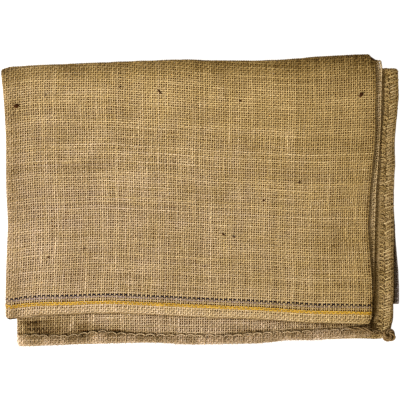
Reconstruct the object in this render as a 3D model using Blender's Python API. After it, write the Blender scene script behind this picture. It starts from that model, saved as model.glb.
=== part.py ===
"""A jute sack, folded in half across its width and again along its length, lying flat.

The sack is one piece of hessian: a flat tube, plain on one long side, sewn along the other and
across one end, open at the mouth. Metres, +Z up, the origin under the middle of the folded sack.
"""

import bisect
import math
from collections import namedtuple

import bmesh
import bpy
from mathutils import Vector
from mathutils.bvhtree import BVHTree

# Driving dimensions
PLY = 0.0011  # thickness of the cloth
GAP = 0.0005  # air between two plies that lie on each other
PITCH = PLY + GAP
FOLD_STEPS = 8  # facets round the fold in the sack's length
EDGE_STEPS = 5  # facets round the fold in the sack's width
SEAM_BAND = 0.011  # turned-in edge of the sewn side and the sewn end
EDGE_ROUND = 0.0008  # rounding of a cloth edge
INNER_ROUND = 0.0003  # rounding of the edges of the space inside
EDGE_SHARE = 0.7  # height of the rounded edge, as a share of the cloth's
SEAT = 0.0003  # clearance between touching pieces

# The leaves' usual widths and lengths, and the mesh's steps across and along them: the listed
# ones from their edges, then even ones of about the size of the last two
PLAIN_WIDTH, SEWN_WIDTH = 0.256, 0.280
MOUTH_LENGTH, SEWN_LENGTH = 0.362, 0.382
PLAIN_STEPS = (0.0, 0.006, 0.013, 0.021, 0.031)
SEWN_STEPS = (0.0, 0.005, 0.0115, 0.018, 0.025, 0.033, 0.042)
MOUTH_STEPS = (0.0, 0.010)
END_STEPS = (0.0, 0.005, 0.0115, 0.019)
STEP_ACROSS = 0.034
STEP_ALONG = 0.030
PLAN_PASSES = 7  # passes that settle a place in plan

# Heights, each as a share of the flat stack's height
SEAM_RISE = 0.22  # the sewn bands are thicker
SIDE_BAND_REACH = 0.022  # how far that reaches from the sewn side, fading over the last half
END_BAND_REACH = 0.0176  # and from the sewn end
FOLD_RISE = 0.16  # the cloth stands a little proud along its folds
FOLD_REACH = 0.045  # how far that reaches from the fold
SAG_REACH = 0.032  # the cloth comes down to the surface over this distance

# The soft swells of the stack: where each is centred, its reach both ways and its share of the height
Swell = namedtuple("Swell", "along across reach_along reach_across rise")
SWELLS = (
    Swell(-0.120, 0.060, 0.070, 0.050, 0.07),
    Swell(0.020, 0.010, 0.080, 0.060, -0.06),
    Swell(0.110, 0.080, 0.060, 0.060, 0.06),
    Swell(-0.050, -0.075, 0.070, 0.045, 0.05),
    Swell(0.130, -0.060, 0.060, 0.050, -0.05),
)

# The sewn side of the second leaf lifts off the one below it in one low arch
ARCH_ALONG, ARCH_REACH, ARCH_RISE, ARCH_DEPTH = -0.097, 0.016, 0.0028, 0.016

# Where the leaves end to the left and right, from the top of the stack down.
# left_outer and left_inner are the folds; the upper two leaves end at the mouth, the lower two at the seam.
Ends = namedtuple("Ends", "across left_outer left_inner upper second third lowest")
ENDS = (
    Ends(-0.1460, -0.1915, -0.1815, 0.1695, 0.1705, 0.1865, 0.1985),
    Ends(-0.1195, -0.1925, -0.1815, 0.1715, 0.1712, 0.1912, 0.1985),
    Ends(-0.0895, -0.1940, -0.1818, 0.1720, 0.1725, 0.1925, 0.1982),
    Ends(-0.0595, -0.1930, -0.1825, 0.1700, 0.1740, 0.1928, 0.1965),
    Ends(-0.0245, -0.1915, -0.1835, 0.1680, 0.1755, 0.1930, 0.1945),
    Ends(0.0105, -0.1925, -0.1845, 0.1700, 0.1769, 0.1930, 0.1927),
    Ends(0.0355, -0.1935, -0.1845, 0.1725, 0.1785, 0.1940, 0.1920),
    Ends(0.0605, -0.1935, -0.1855, 0.1745, 0.1815, 0.1945, 0.1925),
    Ends(0.1005, -0.1955, -0.1865, 0.1750, 0.1815, 0.1975, 0.1945),
    Ends(0.1295, -0.1985, -0.1875, 0.1750, 0.1815, 0.1975, 0.1950),
    Ends(0.1395, -0.1965, -0.1875, 0.1745, 0.1812, 0.1968, 0.1950),
    Ends(0.1460, -0.1955, -0.1875, 0.1705, 0.1805, 0.1955, 0.1950),
)

# Where the leaves end towards +Y (the fold across the width) and -Y (the long sides).
# The plain side carries the upper and lowest leaves, the sewn side the second and third.
Sides = namedtuple("Sides", "along fold_upper fold_lower upper second third lowest")
SIDES = (
    Sides(-0.1985, 0.1315, 0.1300, -0.1200, -0.1459, -0.1435, -0.1125),
    Sides(-0.1645, 0.1340, 0.1315, -0.1168, -0.1458, -0.1435, -0.1115),
    Sides(-0.1295, 0.1360, 0.1330, -0.1152, -0.1440, -0.1425, -0.1105),
    Sides(-0.0935, 0.1378, 0.1345, -0.1136, -0.1427, -0.1415, -0.1095),
    Sides(-0.0445, 0.1395, 0.1360, -0.1154, -0.1410, -0.1400, -0.1095),
    Sides(0.0155, 0.1395, 0.1365, -0.1182, -0.1433, -0.1420, -0.1085),
    Sides(0.0605, 0.1398, 0.1365, -0.1200, -0.1424, -0.1408, -0.1075),
    Sides(0.1125, 0.1425, 0.1370, -0.1234, -0.1402, -0.1400, -0.1065),
    Sides(0.1505, 0.1453, 0.1355, -0.1243, -0.1380, -0.1403, -0.1055),
    Sides(0.1665, 0.1458, 0.1340, -0.1250, -0.1350, -0.1404, -0.1050),
    Sides(0.1745, 0.1398, 0.1325, -0.1250, -0.1335, -0.1402, -0.1045),
    Sides(0.1815, 0.1390, 0.1312, -0.1245, -0.1325, -0.1390, -0.1040),
    Sides(0.1985, 0.1385, 0.1305, -0.1235, -0.1315, -0.1340, -0.1035),
)

# The knot in the tail of the sewing twine, on the corner where the two seams meet
KNOT_ALONG, KNOT_ACROSS = 0.1868, -0.1342
KNOT_REACH = 0.0058  # half the knot's width between the middles of its strands
KNOT_RISE = 0.0021  # half the height between them
TWINE_RADIUS = 0.0017
KNOT_POINTS = 64
TWINE_BEVEL = 2
KNOT_OPEN = 0.35  # the angle left open at each end of the knot, of a full turn of 2 pi

# A place round the flat tube: its share of the second leaf's side, how far up from the long side
# it is (a share and a distance), and its turn round the fold (a quarter turn up to one down).
Column = namedtuple("Column", "second share offset turn")
# A place along the sack, in the same way, from the fold to the open or sewn end.
Station = namedtuple("Station", "lower share offset turn")

QUARTER = math.pi / 2
HALF_STACK = 3.5 * PITCH + PLY / 2
UPPER_RADIUS = 1.5 * PITCH + PLY / 2  # outside of the fold across the width


def mix(low, high, share):
    """The value a share of the way from low to high."""
    return low + (high - low) * share


def ease(share):
    """A smooth rise from 0 to 1."""
    share = min(max(share, 0.0), 1.0)
    return share * share * (3 - 2 * share)


def hump(distance, reach):
    """A smooth hump of height 1 about a distance of 0."""
    return math.exp(-((distance / reach) ** 2))


def read(table, column, at):
    """A column of a table as a smooth curve of its first column, read at a place."""
    places = [row[0] for row in table]
    last = len(table) - 1
    at = min(max(at, places[0]), places[last])
    low = min(bisect.bisect_right(places, at), last) - 1
    values = [getattr(table[min(max(k, 0), last)], column) for k in range(low - 1, low + 3)]
    spots = [places[min(max(k, 0), last)] for k in range(low - 1, low + 3)]
    slopes = [(values[k + 1] - values[k - 1]) / (spots[k + 1] - spots[k - 1]) for k in (1, 2)]
    width = spots[2] - spots[1]
    share = (at - spots[1]) / width
    bend = (1 - share) * slopes[0] - share * slopes[1]
    return mix(values[1], values[2], ease(share)) + share * (1 - share) * width * bend


def plan_spot(station, column):
    """The place in plan of a column at a station, before the folds lift it."""
    x, y = 0.0, 0.0
    for _ in range(PLAN_PASSES):
        outer = read(ENDS, "left_outer", y) + HALF_STACK
        inner = read(ENDS, "left_inner", y) + UPPER_RADIUS
        fold_x = mix(outer, inner, column.second)
        if station.lower < 0.5:
            end_x = mix(read(ENDS, "upper", y), read(ENDS, "second", y), column.second)
        else:
            end_x = mix(read(ENDS, "lowest", y), read(ENDS, "third", y), column.second)
        x = mix(fold_x, end_x, station.share) + station.offset
        upper_side = mix(read(SIDES, "upper", x), read(SIDES, "second", x), column.second)
        lower_side = mix(read(SIDES, "lowest", x), read(SIDES, "third", x), column.second)
        side_y = mix(upper_side, lower_side, station.lower)
        fold_y = mix(read(SIDES, "fold_upper", x), read(SIDES, "fold_lower", x), station.lower)
        y = mix(side_y, fold_y - UPPER_RADIUS, column.share) + column.offset
    return x, y


def swell(x, y):
    """How much the stack is higher than flat, as a factor."""
    from_left = x - read(ENDS, "left_outer", y)
    from_fold = read(SIDES, "fold_upper", x) - y
    rise = FOLD_RISE * max(hump(from_left, FOLD_REACH), hump(from_fold, FOLD_REACH))
    side_band = ease((SIDE_BAND_REACH + read(SIDES, "third", x) - y) / SEAM_BAND)
    end_band = ease((END_BAND_REACH + x - read(ENDS, "third", y)) / SEAM_BAND)
    rise += SEAM_RISE * max(side_band, end_band)
    for row in SWELLS:
        rise += row.rise * hump(x - row.along, row.reach_along) * hump(y - row.across, row.reach_across)
    return 1 + rise


def arch(x, y):
    """The lift of the second leaf's sewn side."""
    depth = ease((ARCH_DEPTH + read(SIDES, "second", x) - y) / ARCH_DEPTH)
    return ARCH_RISE * hump(x - ARCH_ALONG, ARCH_REACH) * depth


def spot(station, column, height):
    """A point of the sack: its height is measured from the middle between the tube's two plies."""
    plan_x, plan_y = plan_spot(station, column)
    radius = PITCH + height
    y = plan_y + radius * math.cos(column.turn)
    level = 2 * PITCH + radius * math.sin(column.turn)
    x = plan_x - level * math.cos(station.turn)
    rise = HALF_STACK + level * math.sin(station.turn)
    rise -= 2 * PITCH * ease((read(SIDES, "lowest", x) - y) / SAG_REACH)
    lift = arch(x, y) * column.second * (1 - station.lower)
    return x, y, max(rise, 0.0) * swell(x, y) + lift


def spread(edge_steps, width, step):
    """Shares of a width from its edge inwards: the steps near the edge, then even ones."""
    inner = edge_steps[-1] / width
    count = round((1 - inner) * width / step)
    return [place / width for place in edge_steps] + [mix(inner, 1.0, k / count) for k in range(1, count + 1)]


def columns(plain_inset, seam_inset):
    """The places round the flat tube, from the plain side over the fold to the sewn side."""
    plain = spread(PLAIN_STEPS, PLAIN_WIDTH, STEP_ACROSS)
    sewn = spread(SEWN_STEPS, SEWN_WIDTH, STEP_ACROSS)
    upper = [Column(0.0, share, plain_inset * (1 - share), QUARTER) for share in plain]
    second = [Column(1.0, share, seam_inset * (1 - share), -QUARTER) for share in sewn]
    fold = []
    for k in range(1, EDGE_STEPS):
        turn = QUARTER - math.pi * k / EDGE_STEPS
        fold.append(Column(ease(k / EDGE_STEPS), 1.0, 0.0, turn))
    return upper + fold + second[::-1]


def stations(end_inset):
    """The places along the sack, from the sewn end round the fold to the mouth."""
    sewn = spread(END_STEPS, SEWN_LENGTH, STEP_ALONG)
    mouth = spread(MOUTH_STEPS, MOUTH_LENGTH, STEP_ALONG)
    lower = [Station(1.0, 1 - share, -end_inset * (1 - share), -QUARTER) for share in sewn]
    upper = [Station(0.0, 1 - share, 0.0, QUARTER) for share in mouth]
    fold = []
    for k in range(1, FOLD_STEPS):
        turn = math.pi * k / FOLD_STEPS - QUARTER
        fold.append(Station((1 - math.sin(turn)) / 2, 0.0, 0.0, turn))
    return lower + fold + upper[::-1]


def ring(station, places, half_height, edge_round):
    """One closed loop round the tube's wall at a station: over the top ply, back under the lower."""
    rims = [place._replace(offset=place.offset - edge_round) for place in (places[0], places[-1])]
    over = [spot(station, place, half_height) for place in places[1:-1]]
    under = [spot(station, place, -half_height) for place in places[1:-1]]
    rounded = half_height * EDGE_SHARE
    start = [spot(station, places[0], height) for height in (-rounded, rounded)]
    end = [spot(station, places[-1], height) for height in (rounded, -rounded)]
    return [
        spot(station, rims[0], 0.0), start[1], *over, end[0],
        spot(station, rims[1], 0.0), end[1], *under[::-1], start[0],
    ]


def skin(bm, places, rows, half_height, edge_round):
    """The vertices of one surface of the wall, a ring for each station."""
    loops = [ring(station, places, half_height, edge_round) for station in rows]
    return [[bm.verts.new(point) for point in loop] for loop in loops]


def join_rings(bm, rings):
    """Faces between each ring and the next."""
    for low, high in zip(rings, rings[1:]):
        count = len(low)
        for k in range(count):
            after = (k + 1) % count
            bm.faces.new((low[k], low[after], high[after], high[k]))


def close_end(bm, loop):
    """Closes a flat ring: its upper and lower halves are joined place by place."""
    count = len(loop)
    bm.faces.new((loop[0], loop[1], loop[-1]))
    for k in range(1, count // 2 - 1):
        bm.faces.new((loop[k], loop[k + 1], loop[-k - 1], loop[-k]))
    middle = count // 2
    bm.faces.new((loop[middle - 1], loop[middle], loop[middle + 1]))


def make_material(name, colour, roughness):
    """A plain fabric finish."""
    material = bpy.data.materials.new(name)
    material.use_nodes = True
    shader = material.node_tree.nodes["Principled BSDF"]
    shader.inputs["Base Color"].default_value = (*colour, 1.0)
    shader.inputs["Roughness"].default_value = roughness
    shader.inputs["Metallic"].default_value = 0.0
    return material


def make_sack_cloth(collection):
    """The sack itself: one closed wall, folded twice."""
    bm = bmesh.new()
    outer_places = columns(EDGE_ROUND, EDGE_ROUND)
    inner_places = columns(PLY + EDGE_ROUND, SEAM_BAND)
    outer = skin(bm, outer_places, stations(0.0), (PITCH + PLY) / 2, EDGE_ROUND)
    inner = skin(bm, inner_places, stations(SEAM_BAND), (PITCH - PLY) / 2, INNER_ROUND)
    join_rings(bm, outer)
    join_rings(bm, inner)
    close_end(bm, outer[0])
    close_end(bm, inner[0])
    join_rings(bm, (outer[-1], inner[-1]))
    bmesh.ops.recalc_face_normals(bm, faces=bm.faces)
    mesh = bpy.data.meshes.new("sack_cloth")
    bm.to_mesh(mesh)
    bm.free()
    cloth = bpy.data.objects.new("sack_cloth", mesh)
    collection.objects.link(cloth)
    mesh.materials.append(make_material("jute_hessian", (0.42, 0.28, 0.12), 0.9))
    mesh.shade_smooth()
    return cloth


def knot_route():
    """The middle of the knot's strand: an overhand knot whose two ends stop short of each other."""
    points = []
    for k in range(KNOT_POINTS):
        turn = mix(KNOT_OPEN, 2 * math.pi - KNOT_OPEN, k / (KNOT_POINTS - 1))
        x = (math.sin(turn) + 2 * math.sin(2 * turn)) / 3 * KNOT_REACH
        y = (math.cos(turn) - 2 * math.cos(2 * turn)) / 3 * KNOT_REACH
        z = -math.sin(3 * turn) * KNOT_RISE
        points.append(Vector((KNOT_ALONG + x, KNOT_ACROSS + y, z)))
    return points


def seat_drop(cloth, points):
    """How far the strand's middle line is lifted, for it to lie a clearance above the cloth."""
    tree = BVHTree.FromPolygons(
        [v.co for v in cloth.data.vertices],
        [p.vertices for p in cloth.data.polygons],
    )
    lift = 0.0
    for point in points:
        hit = tree.ray_cast(Vector((point.x, point.y, 1.0)), Vector((0, 0, -1)))[0]
        if hit:
            lift = max(lift, hit.z + TWINE_RADIUS + SEAT - point.z)
    return lift


def make_seam_tail_knot(collection, cloth):
    """The tail of the sewing twine, tied in an overhand knot on the corner."""
    curve = bpy.data.curves.new("seam_tail_knot", "CURVE")
    curve.dimensions = "3D"
    curve.bevel_depth = TWINE_RADIUS
    curve.bevel_resolution = TWINE_BEVEL
    curve.use_fill_caps = True
    spline = curve.splines.new("POLY")
    spline.points.add(KNOT_POINTS - 1)
    route = knot_route()
    for point, place in zip(spline.points, route):
        point.co = (*place, 1.0)
    knot = bpy.data.objects.new("seam_tail_knot", curve)
    knot.location.z = seat_drop(cloth, route)
    collection.objects.link(knot)
    curve.materials.append(make_material("jute_twine", (0.40, 0.27, 0.13), 0.9))
    return knot


def clear_scene():
    """Removes whatever the scene holds."""
    for ob in list(bpy.data.objects):
        bpy.data.objects.remove(ob, do_unlink=True)


def main():
    """Makes the folded sack."""
    clear_scene()
    collection = bpy.data.collections.new("folded_jute_sack")
    bpy.context.scene.collection.children.link(collection)
    cloth = make_sack_cloth(collection)
    make_seam_tail_knot(collection, cloth)


main()
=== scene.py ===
"""The looks of a folded jute sack: its hessian woven yarn by yarn, its seams sewn, its tail knotted.

The sack is one flat tube of hessian, folded in half across its width and again along its length.
Its cloth is laid through the two folds by one set of formulas, which place the ground of the cloth,
each yarn of the faces that show, the sewing twine and the loose fibres. Metres, +Z up.
"""

import logging
import math
from abc import ABC, abstractmethod
from dataclasses import dataclass, field
from enum import Enum
from functools import reduce
from typing import Callable, ClassVar, NamedTuple, Sequence

import bpy
import numpy as np
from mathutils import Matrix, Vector


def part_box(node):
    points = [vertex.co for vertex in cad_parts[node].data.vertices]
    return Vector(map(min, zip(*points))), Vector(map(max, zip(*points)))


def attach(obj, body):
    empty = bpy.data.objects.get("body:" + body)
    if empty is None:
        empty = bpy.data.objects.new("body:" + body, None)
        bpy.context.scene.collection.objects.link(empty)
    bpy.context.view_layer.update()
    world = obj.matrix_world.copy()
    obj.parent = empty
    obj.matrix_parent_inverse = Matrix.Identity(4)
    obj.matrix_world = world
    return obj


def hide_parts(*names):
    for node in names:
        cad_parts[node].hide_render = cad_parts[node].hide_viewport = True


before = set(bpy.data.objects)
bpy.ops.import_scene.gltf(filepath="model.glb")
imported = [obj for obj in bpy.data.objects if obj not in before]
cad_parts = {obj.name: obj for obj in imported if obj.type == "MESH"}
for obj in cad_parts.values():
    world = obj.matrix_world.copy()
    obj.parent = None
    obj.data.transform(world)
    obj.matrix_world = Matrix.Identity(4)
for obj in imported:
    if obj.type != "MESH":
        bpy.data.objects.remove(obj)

Array = np.ndarray
Colour = tuple[float, float, float]
Pair = tuple[float, float]
Pairs = tuple[Pair, ...]
Rows = tuple[tuple[float, ...], ...]
Values = Array | float
Rule = Callable[[Array, Array], Array]
Socket = bpy.types.NodeSocket
Number = float | Socket
Paint = Colour | Socket
Inputs = dict[str | int, object]
Material = bpy.types.Material
Object = bpy.types.Object
Random = np.random.Generator

LOG = logging.getLogger("jute_sack")
BAKE_MAP = "OFBake"
TURN = 2 * math.pi
QUARTER = math.pi / 2
MM = 0.001


class Spot(NamedTuple):
    """A soft place on the sack: its centre and reach in mm, how dark it is and how much it rises."""

    along: float
    across: float
    reach_along: float
    reach_across: float
    shade: float
    rise: float = 0.0

    def weight(self, x: Array, y: Array) -> Array:
        """How strong the spot is at places along and across, up to 1."""
        along = hump(x - self.along * MM, self.reach_along * MM)
        return along * hump(y - self.across * MM, self.reach_across * MM)


# Where the leaves end, in mm: each row starts with a place across the sack
END_NAMES = ("left_outer", "left_inner", "upper", "second", "third", "lowest")
ENDS: Rows = (
    (-146, -193, -183.2, 169.5, 170.5, 188, 199),
    (-125.5, -194, -183.2, 165, 171.1, 191.5, 199),
    (-123.5, -194.2, -183.2, 168.2, 171.1, 192, 199),
    (-120.5, -194.3, -183.2, 170.5, 171.2, 192.5, 199),
    (-115.5, -194.6, -183.2, 171.7, 171.4, 192.8, 199),
    (-89.5, -194.4, -183, 172, 172.5, 193.3, 199),
    (-59.5, -193.6, -183, 170, 172.8, 193.3, 197.2),
    (-24.5, -192.4, -183.8, 168, 173.6, 193.6, 195),
    (10.5, -194, -184.8, 170, 174.7, 193.6, 193),
    (35.5, -194.1, -184.8, 172.5, 176.5, 194.8, 192.5),
    (60.5, -194.2, -185.8, 174.5, 178.7, 194.5, 192.8),
    (100.5, -196.4, -186.8, 175, 179.9, 198.1, 194.8),
    (129.5, -199, -187.5, 175, 180.5, 197.8, 195.2),
    (139.5, -197.5, -187.5, 174.5, 179.4, 197, 195.2),
    (146, -196, -187.5, 173.5, 178.8, 195.5, 195),
)

# The same at the fold across the width and at the long sides: each row starts with a place along
SIDE_NAMES = ("fold_upper", "fold_lower", "upper", "second", "third", "lowest")
SIDES: Rows = (
    (-198.5, 132.8, 131, -120.8, -146.8, -143.5, -112.5),
    (-164.5, 135, 132.2, -116.3, -146.2, -143.5, -111.5),
    (-129.5, 136.4, 133.2, -114.7, -144.8, -142.5, -110.5),
    (-93.5, 138, 134.5, -113.1, -143.6, -141.5, -109.5),
    (-44.5, 139.9, 136, -114.9, -143, -140, -109.5),
    (-14.5, 140.7, 136.3, -116.3, -144.6, -141, -109),
    (15.5, 139.8, 136.5, -117.7, -144.4, -142, -108.5),
    (60.5, 139.8, 136.5, -119.5, -143.4, -140.8, -107.5),
    (90.5, 141.2, 136.8, -121.5, -140.4, -140.4, -106.9),
    (112.5, 143.2, 137, -122.9, -140.4, -140, -106.5),
    (150.5, 145.3, 135.5, -123.8, -137.8, -139, -105.5),
    (165, 145.8, 134.5, -124.3, -136.6, -139.1, -105),
    (169.2, 145.5, 133.9, -124.4, -135.8, -139.3, -104.7),
    (170.8, 143.7, 133.7, -124.4, -135.5, -139.3, -104.7),
    (172.6, 140.1, 133.5, -124.4, -135.2, -139.4, -104.6),
    (174.5, 139.7, 133.3, -124.4, -134.9, -139.5, -104.5),
    (177.5, 140.4, 133, -124.2, -134.3, -139.4, -104.5),
    (181.5, 142.4, 132.5, -124, -133.5, -139.2, -104.6),
    (198.5, 142.4, 131.8, -123, -132.5, -134.5, -104.4),
)

SWELLS = (
    Spot(-120, 60, 70, 50, 0, 0.07),
    Spot(20, 10, 80, 60, 0, -0.06),
    Spot(110, 80, 60, 60, 0, 0.06),
    Spot(-50, -75, 70, 45, 0, 0.05),
    Spot(130, -60, 60, 50, 0, -0.05),
)

# Slow waves in the height of the stack: their length in mm, heading, phase and share
RIPPLES: Rows = (
    (61, 0.4, 0.3, 0.01),
    (47, 1.9, 1.1, 0.01),
    (33, 2.7, 4, 0.006),
    (25, 1.2, 2.2, 0.005),
    (19, 0.1, 5.1, 0.003),
)

# How far the upper leaf's crosswise yarns stand from straight, in mm, at a place across and three along
DRIFT_NAMES = ("left", "middle", "right")
DRIFTS: Rows = (
    (-117.5, -2.3, -1.4, -2.6),
    (-78.5, 0.1, -0.2, -2.1),
    (-50.5, 1.5, -0.34, -2.9),
    (-20.5, 1.75, 0.44, -3.3),
    (9.5, 0.85, 0.29, -1.8),
    (39.5, -0.2, -0.22, -1.4),
    (69.5, 0, 0.47, -0.28),
    (99.5, -0.9, 0.2, 0.56),
    (139.5, 0, 0, 0),
)
# The lengthwise yarns bow away from the upper leaf's side at the fold
FOLD_BOW = Spot(-186, 14, 45, 12, 0, 1.4)
DRIFT_PLACES = (-145 * MM, 0.0, 140 * MM)

# How much closer than even the lengthwise yarns of the upper leaf lie, as a share
CROWDING: Pairs = (
    (-198.5, 0), (-184.5, 0), (-144.5, 0.0033), (-104.5, 0.011), (-64.5, 0.0167), (-24.5, 0.018),
    (15.5, 0.025), (55.5, 0.027), (95.5, 0.024), (130, 0.016), (172, 0.001),
)

# The line of the sewing along the second leaf's long side, in mm
SEAM_LINE: Pairs = (
    (-181.5, -134.8), (-160, -135), (-139.5, -135.5), (-129, -135), (-118.5, -133.5), (-107.5, -131.6),
    (-98.5, -131), (-90, -131.8), (-75, -133.2), (-40, -134.5), (15.5, -135.2), (35.5, -134.5),
    (60.5, -132.5), (100.5, -131), (125.5, -129.8), (145.5, -129), (160.5, -127), (172, -125.5),
)

# How much darker the hem of the long side is, place by place along it
HEM_DARKENING: Pairs = (
    (-178, -0.12), (-162, -0.04), (-145, 0.17), (-115, 0.12), (-92, 0.01), (-70, 0.1), (-40, 0.17),
    (-15, 0.17), (3, -0.12), (25, 0), (52, 0.12), (95, 0.09), (125, 0.04), (165, 0.07),
)

# The way of the seam's tail from the hem to the knot, in mm
TAIL_LINE: Pairs = (
    (146, -129), (152, -129.2), (158, -128.4), (164, -128.8), (169.5, -130.2), (176, -131.8),
    (181.5, -133.2), (186, -134.5),
)

# The folds and the sewing leave hollows in the cloth below the upper leaf; each is darkened with painted
# shade, some rows give only painted shade, and one lightens instead
HOLLOWS_AND_SHADE = (
    Spot(-166, -129, 14, 8.5, 0.56, -0.14),
    Spot(-140, -131, 20, 4.5, 0.4, -0.1),
    Spot(-148, -120, 18, 3, 0.28, -0.06),
    Spot(-115, -128.5, 11, 6, 0.35, -0.08),
    Spot(-95, -131, 11, 4, 0.38, -0.12),
    Spot(-78, -132, 12, 2.4, 0.4, -0.12),
    Spot(-53, -134, 20, 2.6, 0.36, -0.08),
    Spot(-140, -124, 33, 7, 0.2),
    Spot(79, -121, 13, 1.6, 0.42, -0.06),
    Spot(130, -124.5, 15, 3.4, 0.3, -0.08),
    Spot(100, -130, 9, 3, 0.3, -0.04),
    Spot(152, -127.5, 11, 4, 0.4, -0.06),
    Spot(170, -131, 9, 6, 0.4, -0.04),
    Spot(45, -131, 12, 2, 0.25, -0.04),
    Spot(-162, -140, 8, 3, 0.2),
    Spot(-132, -138, 8, 3, 0.15),
    Spot(-169, -122.5, 15, 2.4, 0.4),
    Spot(-131, -126.2, 8, 3.5, -0.24),
    Spot(-96, -130, 13, 3, 0.22, -0.02),
    Spot(-118, -136.5, 9, 3.5, 0.22, -0.02),
    Spot(-148, -136, 9, 4.5, 0.2, -0.02),
    Spot(118, -124.5, 8, 2.5, 0.22, -0.02),
    Spot(163, -133.5, 8, 4, 0.38, -0.02),
    Spot(89, -135, 6, 1.5, 0.28),
    Spot(-64, -134.5, 6, 1.5, 0.28),
)

# Darker and lighter places on the upper leaf: mostly painted shade under its edges and corners and where the
# light falls off towards the right, some painted light, and a few stains
SHADE_AND_STAINS = (
    Spot(-109.5, -115, 4.5, 1.6, 0.5),
    Spot(-188, -119.5, 6, 2.2, 0.4),
    Spot(-170, -114, 22, 3, 0.12),
    Spot(-80, -113.5, 20, 2.5, 0.2),
    Spot(172, -102, 3, 4.5, 0.45),
    Spot(190, 0, 85, 150, 0.17),
    Spot(-160, 30, 60, 110, 0.06),
    Spot(-65, 5, 30, 25, -0.05),
    Spot(-109, 75, 12, 10, 0.05),
    Spot(75, -45, 30, 25, 0.06),
    Spot(145, -35, 25, 20, 0.08),
    Spot(120, -50, 60, 45, 0.06),
    Spot(75.5, -86.5, 18, 3, 0.12),
    Spot(-165, 105, 35, 25, 0.07),
    Spot(170, -116.5, 6, 6, 0.22),
)

# Bits of bark: their places along and across, their length and width in mm, and their heading
FLECKS: Rows = (
    (-183.1, 93.6, 5.2, 4.2, 0.3),
    (-40.5, 108, 6.2, 1.5, -0.9),
    (-79.5, 112.5, 2.8, 1.4, 0.2),
    (-154.5, 104.5, 2.6, 1.3, 1.2),
    (40, 99, 2.8, 1.6, 0),
    (160.7, 104.9, 6, 3.4, 0.85),
    (99, 17.5, 3, 1.8, 0.4),
    (-151, -57, 2.8, 1.6, 0.1),
    (-115.5, -48.5, 2.6, 1.3, 1),
    (23.5, -34.5, 4.6, 1.3, -0.5),
    (33.5, -36.5, 3.6, 1.5, -0.6),
    (63.5, -0.5, 2.8, 1.8, 0),
    (4.5, -66.5, 2.4, 1.3, 0.7),
)


def mix(low: Values, high: Values, share: Values) -> Values:
    """The value a share of the way from low to high."""
    return low + (high - low) * share


def ease(share: Values) -> Array:
    """A smooth rise from 0 to 1, flat outside it."""
    share = np.clip(share, 0.0, 1.0)
    return share * share * (3 - 2 * share)


def climb(at: Array, start: float, length: float) -> Array:
    """A smooth rise from 0 at a start to 1 a length further on."""
    return ease((at - start) / length)


def hump(distance: Values, reach: float) -> Array:
    """A smooth hump of height 1 about a distance of 0."""
    return np.exp(-((distance / reach) ** 2))


def from_screen(red: int, green: int, blue: int) -> Colour:
    """A screen colour, each channel up to 255, as the linear colour that a shader takes."""
    parts = [channel / 255 for channel in (red, green, blue)]
    return tuple(p / 12.92 if p <= 0.04045 else ((p + 0.055) / 1.055) ** 2.4 for p in parts)


class Band(NamedTuple):
    """A soft band beside a line: how far from it, how far it reaches and how strong it is."""

    middle: float
    reach: float
    strength: float = 1.0

    def at(self, distance: Array) -> Array:
        """The band's strength at a distance from the line."""
        return self.strength * hump(distance - self.middle, self.reach)


class Slope(NamedTuple):
    """A smooth change from one value to another: where it starts, its length and both values."""

    start: float
    length: float
    low: float = 0.0
    high: float = 1.0

    def at(self, place: Array) -> Array:
        """The value at a place."""
        return mix(self.low, self.high, climb(place, self.start, self.length))


@dataclass
class Curve:
    """A smooth curve through values at a few places in rising order, level beyond them."""

    places: Array
    values: Array

    def __post_init__(self) -> None:
        """Works out the slopes at the places."""
        rise = np.diff(self.values, prepend=self.values[0], append=self.values[-1])
        run = np.diff(self.places, prepend=self.places[0], append=self.places[-1])
        self.slopes = (rise[1:] + rise[:-1]) / (run[1:] + run[:-1])

    def __call__(self, at: Values) -> Array:
        """The curve's values.

        Args:
            at: the places to read them at.

        Returns:
            The values there.
        """
        at = np.clip(at, self.places[0], self.places[-1])
        low = np.clip(np.searchsorted(self.places, at, side="right") - 1, 0, len(self.places) - 2)
        width = self.places[low + 1] - self.places[low]
        share = (at - self.places[low]) / width
        bend = (1 - share) * self.slopes[low] - share * self.slopes[low + 1]
        line = mix(self.values[low], self.values[low + 1], ease(share))
        return line + share * (1 - share) * width * bend


def curve_of(pairs: Pairs, unit: float = 1.0) -> Curve:
    """The curve through pairs of a place in mm and a value in a unit."""
    places, values = np.array(pairs, float).T
    return Curve(places * MM, values * unit)


def curves_of(names: Sequence[str], rows: Rows) -> dict[str, Curve]:
    """The named curves of a table in mm, over its first column."""
    places, *columns = np.array(rows).T * MM
    return dict(zip(names, (Curve(places, column) for column in columns)))


class Leaf(Enum):
    """The leaves from the top down: past the fold across, in the lower half, and the ply that shows."""

    UPPER = (0, 0, 1)
    SECOND = (1, 0, -1)
    THIRD = (1, 1, 1)
    LOWEST = (0, 1, -1)


class Place(NamedTuple):
    """A place along the sack or round its tube, as rings and their corners take them."""

    past: float  # the share past the fold
    share: float  # of the way from the fold to the end, or from the long side to the fold
    offset: float  # added to that
    turn: float  # in the fold
    lift: float = 1.0  # a factor for a ring's heights, or a corner's height


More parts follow.
